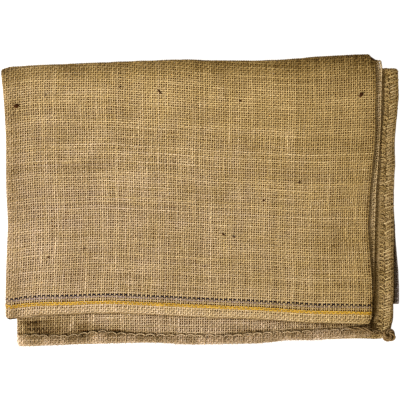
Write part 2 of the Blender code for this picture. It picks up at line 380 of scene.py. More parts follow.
@dataclass
class FoldedForm:
    """The shape in which the cloth lies: the two folds, the leaves' edges, and the uneven heights."""

    ply: float = 1.1 * MM
    gap: float = 0.5 * MM
    seam_band: float = 11 * MM
    seam_rise: float = 0.22
    side_band_reach: float = 22 * MM
    end_band_reach: float = 17.6 * MM
    fold_swell: Band = Band(0.0, 45 * MM, 0.16)
    sag_reach: float = 32 * MM
    arch_lift: Band = Band(-97 * MM, 16 * MM, 2.8 * MM)
    arch_depth: float = 16 * MM
    press: float = 0.62
    press_reach: float = 16 * MM
    lean: float = 0.16
    lean_reach: float = 40 * MM
    most_past: float = 1.2
    hem_puff: float = 0.15
    hem_round: float = 3 * MM
    groove: Band = Band(0.5 * MM, 1.4 * MM, 0.20)
    loop_pull: Pair = (0.8, 0.3)
    loop_pitch: float = 9.7 * MM
    end_puff: float = 0.10
    end_groove: Band = Band(14 * MM, 1.4 * MM, 0.10)
    plan_passes: int = 7

    def __post_init__(self) -> None:
        """Works out the sizes and the curves that follow from the fields."""
        self.pitch = self.ply + self.gap
        self.half_gap = self.pitch / 2
        self.half_stack = 3.5 * self.pitch + self.ply / 2
        self.upper_radius = 1.5 * self.pitch + self.ply / 2
        self.edge_centre = self.half_gap + self.ply / 2
        self.end = curves_of(END_NAMES, ENDS)
        self.side = curves_of(SIDE_NAMES, SIDES)
        self.seam_line = curve_of(SEAM_LINE, MM)
        self.hem_darkening = curve_of(HEM_DARKENING)

    def puff(self, inward: Array, width: Values) -> Array:
        """The round rise of a hem, up to 1, from how far inward a place is and the hem's width."""
        return ease(inward / self.hem_round) * ease((width - inward) / self.hem_round)

    def start(self, y: Array, second: Array) -> Array:
        """Where a leaf starts at the fold along the length."""
        outer = self.end["left_outer"](y) + self.half_stack
        return mix(outer, self.end["left_inner"](y) + self.upper_radius, second)

    def hem(self, x: Array, y: Array) -> Array:
        """The puffed hem and the groove of its sewing, as a share of the height.

        Args:
            x: places along the sack.
            y: places across.

        Returns:
            The share that they add to the height.
        """
        inward = y - self.side["second"](x)
        seam = self.seam_line(x) - self.side["second"](x)
        held, pulled = self.loop_pull
        pull = held + pulled * np.cos(TURN * x / self.loop_pitch)
        rise = self.hem_puff * self.puff(inward, seam) - pull * self.groove.at(inward - seam)
        from_end = self.end["third"](y) - x
        rise = rise + self.end_puff * self.puff(from_end, self.end_groove.middle)
        return rise - self.end_groove.at(from_end)

    def swell(self, x: Array, y: Array) -> Array:
        """How much the stack is higher than flat.

        Args:
            x: places along the sack.
            y: places across.

        Returns:
            A factor for the height.
        """
        from_left = self.fold_swell.at(x - self.end["left_outer"](y))
        from_fold = self.fold_swell.at(self.side["fold_upper"](x) - y)
        side_band = ease((self.side_band_reach + self.side["third"](x) - y) / self.seam_band)
        end_band = ease((self.end_band_reach + x - self.end["third"](y)) / self.seam_band)
        rise = 1 + np.maximum(from_left, from_fold)
        rise = rise + self.seam_rise * np.maximum(side_band, end_band) + self.hem(x, y)
        for spot in (*SWELLS, *HOLLOWS_AND_SHADE):
            rise = rise + spot.rise * spot.weight(x, y)
        for length, heading, phase, share in RIPPLES:
            run = x * math.cos(heading) + y * math.sin(heading)
            rise = rise + share * np.sin(TURN * run / (length * MM) + phase)
        return rise

    def arch(self, x: Array, y: Array) -> Array:
        """The lift of the second leaf's sewn side off the leaf below."""
        depth = ease((self.arch_depth + self.side["second"](x) - y) / self.arch_depth)
        return self.arch_lift.at(x) * depth

    def place(
        self, plan: tuple[Array, Array], lower: Array, along_turn: Array,
        second: Array, across_turn: Array, height: Array,
    ) -> Array:
        """Points of the cloth, from where they are in plan and how far they have turned in each fold.

        Args:
            plan: the places along and across, before the folds lift them.
            lower: the share of the lower half of the sack.
            along_turn: the turn in the fold along the length, a quarter turn up to one down.
            second: the share of the second leaf's side of the fold across the width.
            across_turn: the turn in that fold.
            height: the height from the middle between the tube's plies.

        Returns:
            The points, with x, y and z last.
        """
        radius = self.pitch + height
        y = plan[1] + radius * np.cos(across_turn)
        level = 2 * self.pitch + radius * np.sin(across_turn)
        x = plan[0] - level * np.cos(along_turn)
        past_fold = y - self.side["fold_upper"](x)
        near = np.clip(past_fold / self.press_reach + 1, 0.0, self.most_past) ** 2
        wide = ease(past_fold / self.lean_reach + 1)
        pressed = 1 - (self.press * near + self.lean * wide) * (1 - lower)
        rise = self.half_stack + level * np.sin(along_turn) * pressed
        rise = rise - 2 * self.pitch * ease((self.side["lowest"](x) - y) / self.sag_reach)
        z = np.maximum(rise, 0.0) * self.swell(x, y) + self.arch(x, y) * second * (1 - lower)
        return np.stack(np.broadcast_arrays(x, y, z), axis=-1)

    def spot(self, stations: list[Place], corners: list[Place]) -> Array:
        """Points of the cloth for each place along the sack and each place round its tube.

        Args:
            stations: the places along the sack.
            corners: the places round the tube.

        Returns:
            The points, a row for each station.
        """
        lower, share_x, offset_x, turn_x, scale = np.array(stations).T[:, :, None]
        second, share_y, offset_y, turn_y, height = np.array(corners).T[:, None, :]
        y = np.zeros((len(stations), len(corners)))
        for _ in range(self.plan_passes):
            upper_end = mix(self.end["upper"](y), self.end["second"](y), second)
            lower_end = mix(self.end["lowest"](y), self.end["third"](y), second)
            end_x = np.where(lower < 0.5, upper_end, lower_end)
            x = mix(self.start(y, second), end_x, share_x) + offset_x
            upper_side = mix(self.side["upper"](x), self.side["second"](x), second)
            lower_side = mix(self.side["lowest"](x), self.side["third"](x), second)
            fold_y = mix(self.side["fold_upper"](x), self.side["fold_lower"](x), lower)
            y = mix(mix(upper_side, lower_side, lower), fold_y - self.upper_radius, share_y) + offset_y
        return self.place((x, y), lower, turn_x, second, turn_y, height * scale)

    def lay(self, x: Array, y: Array, out: Values, leaf: Leaf) -> Array:
        """Points over the shown ply of a leaf, from flat places that run on round its folds and edge.

        Args:
            x: flat places along the sack. Past the leaf's fold they run on round it.
            y: flat places across it, in the same way.
            out: heights out of the middle of the ply, away from the tube's inside.
            leaf: the leaf, of which they take the ply that shows.

        Returns:
            The points, with x, y and z last.
        """
        base_second, base_lower, ply = leaf.value
        across_sign, along_sign = 1 - 2 * base_second, 1 - 2 * base_lower
        names = ("second", "third") if base_second else ("upper", "lowest")
        upper_side, lower_side = (self.side[name] for name in names)
        side = lower_side if base_lower else upper_side
        fold = self.side["fold_lower" if base_lower else "fold_upper"]

        # round the edge of the long side
        near_edge = side(x) + self.edge_centre
        past_edge = np.maximum(near_edge - y, 0.0) / self.half_gap
        swing = np.clip(past_edge, 0.0, math.pi)
        reach = self.half_gap + out
        height = ply * reach * np.cos(swing)
        flat_y = np.maximum(y, near_edge)
        edge_drop = reach * np.sin(swing) - self.half_gap * np.maximum(past_edge - math.pi, 0.0)

        # round the fold across the width
        fold_start = fold(x) - self.upper_radius
        roll = self.pitch + ply * self.half_gap
        past_fold = np.maximum(flat_y - fold_start, 0.0)
        turned = np.clip(past_fold / roll, 0.0, math.pi)
        beyond = np.maximum(past_fold - math.pi * roll, 0.0)
        second = base_second + across_sign * ease(turned / math.pi)
        across_turn = across_sign * (QUARTER - turned)
        plan_y = np.minimum(flat_y, fold_start) - beyond - edge_drop

        # round the fold along the length
        start_x = self.start(plan_y, second)
        level = 2 * self.pitch + roll * np.sin(across_turn)
        past_left = np.maximum(start_x - x, 0.0)
        bent = np.clip(past_left / level, 0.0, math.pi)
        lower = base_lower + along_sign * (1 - np.cos(bent)) / 2
        along_turn = along_sign * (QUARTER - bent)
        plan_x = np.maximum(x, start_x) + np.maximum(past_left - math.pi * level, 0.0)

        # the ends and sides differ from leaf to leaf
        own_end = self.end[names[base_lower]](plan_y)
        far_end = self.end["third" if base_lower else "second"](plan_y)
        near_end = self.end["lowest" if base_lower else "upper"](plan_y)
        along_share = np.clip((plan_x - start_x) / (own_end - start_x), 0.0, self.most_past)
        slid = plan_x + along_share * (mix(near_end, far_end, second) - own_end)
        fold_slide = fold(slid) - fold(plan_x)
        to_fold = np.clip((plan_y - side(slid)) / (fold_start - side(slid)), 0.0, 1.0)
        side_shift = lower_side(slid) - upper_side(slid)
        fold_shift = self.side["fold_lower"](slid) - self.side["fold_upper"](slid)
        shift = (lower - base_lower) * mix(side_shift, fold_shift, to_fold) + fold_slide * to_fold
        return self.place((slid, plan_y + shift), lower, along_turn, second, across_turn, height)


def wall(strands: int, u: Array, v: Array) -> tuple[Array, Array]:
    """The four-cornered faces of tubes whose points are numbered strand by strand, ring by ring.

    Args:
        strands: how many tubes there are.
        u: each ring's place on the map.
        v: the places round a tube, with the first one's next turn at the end.

    Returns:
        The faces' corners, and the corners' places on the map.
    """
    rings, corners = len(u), len(v) - 1
    index = np.arange(strands * rings * corners).reshape(strands, rings, corners)
    after = np.roll(index, -1, axis=2)
    quads = np.stack([index[:, :-1], index[:, 1:], after[:, 1:], after[:, :-1]], axis=-1)
    lane = (np.arange(strands)[:, None] + v) / strands
    along = np.stack([u[:-1], u[1:], u[1:], u[:-1]], axis=-1)[None, :, None]
    around = np.stack([lane[:, :-1], lane[:, :-1], lane[:, 1:], lane[:, 1:]], axis=-1)[:, None]
    uv = np.stack(np.broadcast_arrays(along, around), axis=-1)
    return quads.reshape(-1, 4), uv.reshape(-1, 4, 2)


def faces_in(points: Array, quads: Array) -> bool:
    """Whether the faces look into the volume that they close."""
    a, b, c, d = (points[quads[:, k]] for k in range(4))
    return float(np.einsum("ij,ij->", a, np.cross(b, c) + np.cross(c, d))) < 0


def new_object(
    name: str, points: Array, loops: Array, sizes: Array, materials: Sequence[Material],
    uv: Array | None = None, finish: Array | int = 0, **values: Array,
) -> Object:
    """A mesh object from arrays.

    Args:
        name: its name.
        points: its vertices.
        loops: the vertices of its faces, one face after the other.
        sizes: how many vertices each face has.
        materials: its materials.
        uv: each loop's place on the map.
        finish: the number of each face's material.
        **values: for each vertex, the values that its material reads.

    Returns:
        The object, in the scene.
    """
    mesh = bpy.data.meshes.new(name)
    mesh.vertices.add(len(points))
    mesh.vertices.foreach_set("co", points.astype(np.float32).ravel())
    mesh.loops.add(len(loops))
    mesh.loops.foreach_set("vertex_index", loops.astype(np.int32))
    mesh.polygons.add(len(sizes))
    starts = np.concatenate([[0], np.cumsum(sizes)[:-1]])
    mesh.polygons.foreach_set("loop_start", starts.astype(np.int32))
    for material in materials:
        mesh.materials.append(material)
    mesh.polygons.foreach_set("material_index", np.broadcast_to(finish, len(sizes)).astype(np.int32))
    mesh.update(calc_edges=True)
    mesh.validate()
    mesh.shade_smooth()
    if uv is not None:
        mesh.uv_layers.new(name=BAKE_MAP).uv.foreach_set("vector", uv.astype(np.float32).ravel())
    for label, spread in values.items():
        layer = mesh.attributes.new(label, "FLOAT", "POINT")
        layer.data.foreach_set("value", spread.astype(np.float32))
    ob = bpy.data.objects.new(name, mesh)
    bpy.context.scene.collection.objects.link(ob)
    return ob


@dataclass
class Strands:
    """A bundle of tubes with as many rings each and as many corners a ring, as one mesh."""

    name: str
    materials: Sequence[Material]
    points: Array  # strand, ring, corner, xyz
    tone: Array  # strand, ring
    tint: Array  # strand, ring
    finish: Array | int = 0  # the number of each strand's material

    def make(self) -> Object:
        """Makes the bundle's object, closed at its ends, with its map and its colour values.

        Returns:
            The object, in the scene.
        """
        strands, rings, corners, _ = self.points.shape
        turn = np.arange(corners + 1) / corners
        quads, uv = wall(strands, np.linspace(0, 1, rings), turn)
        index = np.arange(strands * rings * corners).reshape(strands, rings, corners)
        caps = np.concatenate([index[:, 0], index[:, -1, ::-1]])
        cap_u = np.repeat([0.0, 1.0], strands)[:, None]
        cap_v = (np.tile(np.arange(strands), 2)[:, None] + turn[:-1]) / strands
        cap_uv = np.stack(np.broadcast_arrays(cap_u, cap_v), axis=-1)
        flat = self.points.reshape(-1, 3)
        if faces_in(flat, quads):
            quads, caps, uv = quads[:, ::-1], caps[:, ::-1], uv[:, ::-1]
        own = np.broadcast_to(self.finish, strands)
        finish = np.concatenate([np.repeat(own, (rings - 1) * corners), np.tile(own, 2)])
        # how far each corner faces up: the yarn finishes paint light on the crowns and shade on the flanks
        # with it
        crown = np.maximum(np.sin(TURN * turn[:-1]), 0.0)
        values = {"tone": self.tone[:, :, None], "tint": self.tint[:, :, None], "crown": crown}
        spread = {label: np.broadcast_to(value, index.shape).ravel() for label, value in values.items()}
        loops = np.concatenate([quads.ravel(), caps.ravel()])
        sizes = np.repeat([4, corners], [len(quads), len(caps)])
        uv = np.concatenate([uv.reshape(-1, 2), cap_uv.reshape(-1, 2)])
        return new_object(self.name, flat, loops, sizes, self.materials, uv, finish, **spread)


def wander(rng: Random, shape: tuple[int, int], reach: float) -> Array:
    """Smooth noise along each row, with a mean of 0 and a spread of 1.

    Args:
        rng: the source of the noise.
        shape: how many rows there are and how long they are.
        reach: over how many places it stays alike.

    Returns:
        The noise.
    """
    half = int(3 * reach) + 1
    kernel = np.exp(-0.5 * (np.arange(-half, half + 1) / reach) ** 2)
    kernel /= math.sqrt(float((kernel**2).sum()))
    raw = rng.standard_normal((shape[0], shape[1] + 2 * half))
    return np.stack([np.convolve(row, kernel, mode="valid") for row in raw])


class Twine(NamedTuple):
    """A twine's form: its thickness by its width, its strands, their grooves' depth, its turns, its sides."""

    flatness: float = 1.0
    lobes: int = 2
    depth: float = 0.25
    turns: float = 3.0
    sides: int = 6


def sweep(route: Array, half_width: Array, twine: Twine) -> Array:
    """Rings round one or more routes.

    Args:
        route: the routes' points: route, point, xyz.
        half_width: half the width at each point.
        twine: the form of the tube.

    Returns:
        The rings' points: route, ring, corner, xyz.
    """
    ahead = np.gradient(route, axis=1)
    ahead /= np.maximum(np.linalg.norm(ahead, axis=-1, keepdims=True), 1e-12)
    across = np.cross(ahead, np.array([0.0, 0.0, 1.0]))
    length = np.linalg.norm(across, axis=-1, keepdims=True)
    across = np.where(length > 1e-3, across / np.maximum(length, 1e-12), np.array([1.0, 0.0, 0.0]))
    up = np.cross(across, ahead)
    angle = TURN * np.arange(twine.sides) / twine.sides
    wound = TURN * twine.turns * np.linspace(0, 1, route.shape[1])[None, :, None]
    groove = 1 - twine.depth * 0.5 * (1 - np.cos(twine.lobes * (angle + wound)))
    wide = (half_width[..., None] * groove * np.cos(angle))[..., None]
    high = ((twine.flatness * half_width)[..., None] * groove * np.sin(angle))[..., None]
    return route[:, :, None] + across[:, :, None] * wide + up[:, :, None] * high


@dataclass
class Net:
    """A small helper that wires a node tree."""

    tree: bpy.types.NodeTree

    def feed(self, node: bpy.types.Node, inputs: Inputs) -> bpy.types.Node:
        """Gives a node's inputs their values, or links outputs to them.

        Args:
            node: the node.
            inputs: a value or another node's output for each input, by name or number.

        Returns:
            The node.
        """
        for name, value in inputs.items():
            socket = node.inputs[name]
            if isinstance(value, Socket):
                self.tree.links.new(value, socket)
            else:
                socket.default_value = (*value, 1.0) if socket.type == "RGBA" else value
        return node

    def node(self, kind: str, inputs: Inputs | None = None, **settings: object) -> bpy.types.Node:
        """Adds a node.

        Args:
            kind: its type.
            inputs: a value or another node's output for its inputs, by name or number.
            **settings: its own settings.

        Returns:
            The node.
        """
        node = self.tree.nodes.new(kind)
        for name, value in settings.items():
            setattr(node, name, value)
        return self.feed(node, inputs or {})

    def effect(self, effect: "Effect", inputs: Inputs) -> bpy.types.NodeOutputs:
        """The outputs of an effect's group, placed with its own values."""
        return self.node("ShaderNodeGroup", inputs, node_tree=effect.group()).outputs

    def value_of(self, name: str) -> Socket:
        """The value that each vertex has under a name."""
        return self.node("ShaderNodeAttribute", attribute_name=name).outputs["Fac"]

    def map_place(self) -> Sequence[Socket]:
        """The place on the map, along and round."""
        spot = self.node("ShaderNodeUVMap", uv_map=BAKE_MAP).outputs["UV"]
        return self.node("ShaderNodeSeparateXYZ", {0: spot}).outputs[:2]

    def math(self, operation: str, *values: Number) -> Socket:
        """A Math node's result."""
        return self.node("ShaderNodeMath", dict(enumerate(values)), operation=operation).outputs[0]

    def times(self, *values: Number) -> Socket:
        """Two or more values multiplied."""
        return reduce(lambda first, second: self.math("MULTIPLY", first, second), values)

    def plus(self, *values: Number) -> Socket:
        """Two or more values added."""
        return reduce(lambda first, second: self.math("ADD", first, second), values)

    def span(self, value: Socket, low: float, high: float, start: float = 0.0, stop: float = 1.0) -> Socket:
        """A value carried from one range to another, and held within it."""
        sockets = {"Value": value, "From Min": low, "From Max": high, "To Min": start, "To Max": stop}
        return self.node("ShaderNodeMapRange", sockets).outputs["Result"]

    def noise(self, vector: Socket, scale: float, detail: float = 2.0) -> Socket:
        """Smooth noise, about 0.5."""
        sockets = {"Vector": vector, "Scale": scale, "Detail": detail}
        return self.node("ShaderNodeTexNoise", sockets).outputs["Fac"]

    def bump(self, height: Socket, strength: float, distance: float) -> Socket:
        """The normal of a relief."""
        sockets = {"Height": height, "Strength": strength, "Distance": distance}
        return self.node("ShaderNodeBump", sockets).outputs["Normal"]

    def blend(self, share: Number, low: Paint, high: Paint, way: str = "MIX") -> Socket:
        """Two colours mixed. A Mix node's colours are its inputs 6 and 7 and its output 2."""
        given = {0: share, 6: low, 7: high}
        return self.node("ShaderNodeMix", given, data_type="RGBA", blend_type=way).outputs[2]

    def scaled(self, colour: Socket, factor: Socket) -> Socket:
        """A colour made lighter or darker."""
        sockets = {0: colour, "Scale": factor}
        return self.node("ShaderNodeVectorMath", sockets, operation="SCALE").outputs[0]


class Effect(ABC):
    """A shader node group with named inputs and outputs, made once and shared by the materials."""

    name: ClassVar[str]
    ins: ClassVar[dict[str, float | Colour]]
    outs: ClassVar[dict[str, str]]

    @abstractmethod
    def wire(self, net: Net, given: bpy.types.NodeOutputs) -> Inputs:
        """Wires the group from what its inputs give, and names what its outputs take."""

    def group(self) -> bpy.types.NodeTree:
        """Makes the group, the first time it is asked for.

        Returns:
            The group.
        """
        tree = bpy.data.node_groups.get(self.name)
        if tree:
            return tree
        tree = bpy.data.node_groups.new(self.name, "ShaderNodeTree")
        for label, value in self.ins.items():
            kind, value = ("Color", (*value, 1.0)) if isinstance(value, tuple) else ("Float", value)
            socket = tree.interface.new_socket(name=label, in_out="INPUT", socket_type=f"NodeSocket{kind}")
            socket.default_value = value
        for label, kind in self.outs.items():
            tree.interface.new_socket(name=label, in_out="OUTPUT", socket_type=f"NodeSocket{kind}")
        net = Net(tree)
        made = self.wire(net, net.node("NodeGroupInput").outputs)
        net.node("NodeGroupOutput", made)
        return tree


@dataclass(frozen=True)
class JuteShade(Effect):
    """The uneven colour of jute: soft patches, reddish and greenish turns, and single fibres."""

    patch_scale: float = 26.0
    turn_scale: float = 70.0
    fine_scale: float = 900.0
    patch_depth: float = 0.10
    turn_depth: float = 0.3
    fine_depth: float = 0.22
    darkest: float = 0.02
    pale_jute: Colour = (0.99, 1.0, 1.22)
    deep_jute: Colour = (1.01, 0.985, 0.79)
    channel_powers: Colour = (0.87, 1.0, 1.35)  # dark jute is yellower, light jute paler

    name = "jute_shade"
    ins = {"Colour": (0.5, 0.3, 0.1), "Tone": 0.0, "Tint": 0.0, "Unevenness": 1.0}
    outs = {"Colour": "Color", "Fibre": "Float"}

    def wire(self, net: Net, given: bpy.types.NodeOutputs) -> Inputs:
        """Wires the colour, made lighter, darker, paler and yellower in places.

        Args:
            net: the group's net.
            given: what its inputs give.

        Returns:
            What its outputs take.
        """
        place = net.node("ShaderNodeTexCoord").outputs["Object"]
        patch = net.noise(place, self.patch_scale, 3.0)
        turn = net.noise(place, self.turn_scale, 2.0)
        fine = net.noise(place, self.fine_scale, 3.0)
        patch_part = net.span(patch, 0.3, 0.7, -self.patch_depth, self.patch_depth)
        fine_part = net.span(fine, 0.25, 0.75, -self.fine_depth, self.fine_depth)
        uneven = net.times(net.plus(patch_part, fine_part), given["Unevenness"])
        light = net.math("MAXIMUM", net.plus(uneven, given["Tone"], 1.0), self.darkest)
        hue = net.plus(net.span(turn, 0.3, 0.7, -self.turn_depth, self.turn_depth), given["Tint"])
        pale = net.blend(net.span(hue, 0.0, 1.0), given["Colour"], self.pale_jute, "MULTIPLY")
        deep = net.blend(net.span(hue, 0.0, -1.0), pale, self.deep_jute, "MULTIPLY")
        parts = {axis: net.math("POWER", light, power) for axis, power in zip("XYZ", self.channel_powers)}
        toned = net.node("ShaderNodeCombineXYZ", parts).outputs[0]
        return {"Colour": net.blend(1.0, deep, toned, "MULTIPLY"), "Fibre": fine}


class TwistRelief(Effect):
    """The slanted lines of the fibres in a spun yarn, as a height."""

    name = "yarn_twist"
    ins = {"Turns": 200.0, "Strands": 100.0, "Lines": 3.0}
    outs = {"Height": "Float"}

    def wire(self, net: Net, given: bpy.types.NodeOutputs) -> Inputs:
        """Wires a wave that winds round the yarn.

        Args:
            net: the group's net.
            given: what its inputs give.

        Returns:
            What its output takes.
        """
        u, v = net.map_place()
        along = net.times(u, given["Turns"])
        around = net.times(v, given["Strands"], given["Lines"])
        wave = net.math("SINE", net.times(net.plus(along, around), TURN))
        return {"Height": net.plus(net.times(wave, 0.5), 0.5)}


@dataclass(frozen=True)
class PlainWeave(Effect):
    """A plain weave drawn on the ground cloth: its height, its yarns' tone and its gaps."""

    level: float = 0.6
    wave: float = 0.3
    tone_spread: float = 0.12

    name = "plain_weave"
    ins = {"Yarns Along": 300.0, "Yarns Round": 400.0}
    outs = {"Height": "Float", "Gap": "Float", "Tone": "Float"}

    def wire(self, net: Net, given: bpy.types.NodeOutputs) -> Inputs:
        """Wires two sets of yarns that go over and under each other.

        Args:
            net: the group's net.
            given: what its inputs give.

        Returns:
            What its outputs take.
        """
        u, v = net.map_place()
        lanes = net.times(u, given["Yarns Along"]), net.times(v, given["Yarns Round"])
        cells = [net.math("FLOOR", lane) for lane in lanes]
        sign = net.math("SUBTRACT", net.times(net.math("MODULO", net.plus(*cells), 2.0), 2.0), 1.0)
        wave_u, wave_v = (net.math("SINE", net.times(net.math("FRACT", lane), math.pi)) for lane in lanes)
        lift_u = net.plus(net.times(wave_v, sign, self.wave), self.level)
        lift_v = net.math("SUBTRACT", self.level, net.times(wave_u, sign, self.wave))
        yarn_u = net.times(net.span(wave_u, 0.25, 0.9), lift_u)
        yarn_v = net.times(net.span(wave_v, 0.25, 0.9), lift_v)
        top = net.math("MAXIMUM", yarn_u, yarn_v)
        own = net.node("ShaderNodeTexWhiteNoise", {"W": cells[1]}, noise_dimensions="1D").outputs["Value"]
        tone = net.span(own, 0.0, 1.0, -self.tone_spread, self.tone_spread)
        return {"Height": top, "Gap": net.span(top, 0.30, 0.05), "Tone": tone}


@dataclass(frozen=True)
class Finish(ABC):
    """A finish, whose material is wired from the shared effects."""

    name: str
    colour: Colour

    @abstractmethod
    def wire(self, net: Net) -> Inputs:
        """Wires the finish's nodes, and names what the shader's inputs take."""

    def material(self) -> Material:
        """Makes the finish's material.

        Returns:
            The material.
        """
        material = bpy.data.materials.new(self.name)
        material.use_nodes = True
        net = Net(material.node_tree)
        net.feed(material.node_tree.nodes["Principled BSDF"], self.wire(net))
        return material


@dataclass(frozen=True)
class YarnFinish(Finish):
    """The finish of a spun yarn or twine."""

    twist_turns: float = 80.0
    strands: int = 120
    lines: float = 2.0
    # painted shade: the share of the colour on the yarn's flanks, which turn from the light
    flank_shade: Colour = (0.68, 0.53, 0.32)
    line_shade: Pair = (0.86, 1.08)
    relief: float = 0.12 * MM
    unevenness: float = 1.0
    roughness: float = 0.88
    roughness_spread: float = 0.06
    sheen: float = 0.02

    def wire(self, net: Net) -> Inputs:
        """Wires the yarn's colour, with painted shade on its flanks and painted light on its crown, toned
        yarn by yarn, and its twist with painted shade in its lines.

        Args:
            net: the material's net.

        Returns:
            What the shader's inputs take.
        """
        flank_shade = tuple(channel * part for channel, part in zip(self.colour, self.flank_shade))
        given = {
            "Colour": net.blend(net.value_of("crown"), flank_shade, self.colour),
            "Tone": net.value_of("tone"),
            "Tint": net.value_of("tint"),
            "Unevenness": self.unevenness,
        }
        shade = net.effect(JuteShade(), given)
        turns = {"Turns": self.twist_turns, "Strands": float(self.strands), "Lines": self.lines}
        twist = net.effect(TwistRelief(), turns)["Height"]
        low, high = self.roughness - self.roughness_spread, self.roughness + self.roughness_spread
        return {
            "Base Color": net.scaled(shade["Colour"], net.span(twist, 0.0, 1.0, *self.line_shade)),
            "Normal": net.bump(twist, 0.6, self.relief),
            "Roughness": net.span(shade["Fibre"], 0.2, 0.8, low, high),
            "Sheen Weight": self.sheen,
            "Sheen Roughness": 0.5,
            "Specular IOR Level": 0.08,
        }


@dataclass(frozen=True)
class GroundFinish(Finish):
    """The finish of the ground cloth: drawn weave where it shows, and a painted shadow colour below the yarns
    and in the drawn gaps.
    """

    gap_shadow_colour: Colour
    yarns_along: float
    yarns_round: float
    relief: float = 0.5 * MM
    gap_depth: float = 0.85

    def wire(self, net: Net) -> Inputs:
        """Wires the drawn weave, and the painted shadow where yarns cover it and in its gaps.

        Args:
            net: the material's net.

        Returns:
            What the shader's inputs take.
        """
        yarns = {"Yarns Along": self.yarns_along, "Yarns Round": self.yarns_round}
        weave = net.effect(PlainWeave(), yarns)
        shade = net.effect(JuteShade(), {"Colour": self.colour, "Tone": weave["Tone"]})
        cover = net.value_of("cover")
        # painted shadow: the dark colour where yarns lie over the cloth and in the drawn weave's gaps
        depth = net.math("MAXIMUM", cover, net.times(weave["Gap"], self.gap_depth))
        height = net.times(weave["Height"], net.math("SUBTRACT", 1.0, cover))
        return {
            "Base Color": net.blend(depth, shade["Colour"], self.gap_shadow_colour),
            "Normal": net.bump(height, 0.9, self.relief),
            "Roughness": net.span(shade["Fibre"], 0.2, 0.8, 0.84, 0.96),
            "Specular IOR Level": 0.05,
        }


@dataclass(frozen=True)
class BarkFinish(Finish):
    """The finish of a bit of bark."""

    def wire(self, net: Net) -> Inputs:
        """Wires the uneven dark colour."""
        shade = net.effect(JuteShade(), {"Colour": self.colour})
        return {"Base Color": shade["Colour"], "Roughness": 0.9, "Specular IOR Level": 0.1}


@dataclass(frozen=True)
class FloorFinish(Finish):
    """The finish of a pale, evenly lit floor."""

    glow: float = 0.95

    def wire(self, net: Net) -> Inputs:
        """Names the floor's plain values."""
        glow = {"Emission Color": (1.0, 1.0, 1.0), "Emission Strength": self.glow}
        return {"Base Color": self.colour, "Roughness": 0.9, "Specular IOR Level": 0.1, **glow}


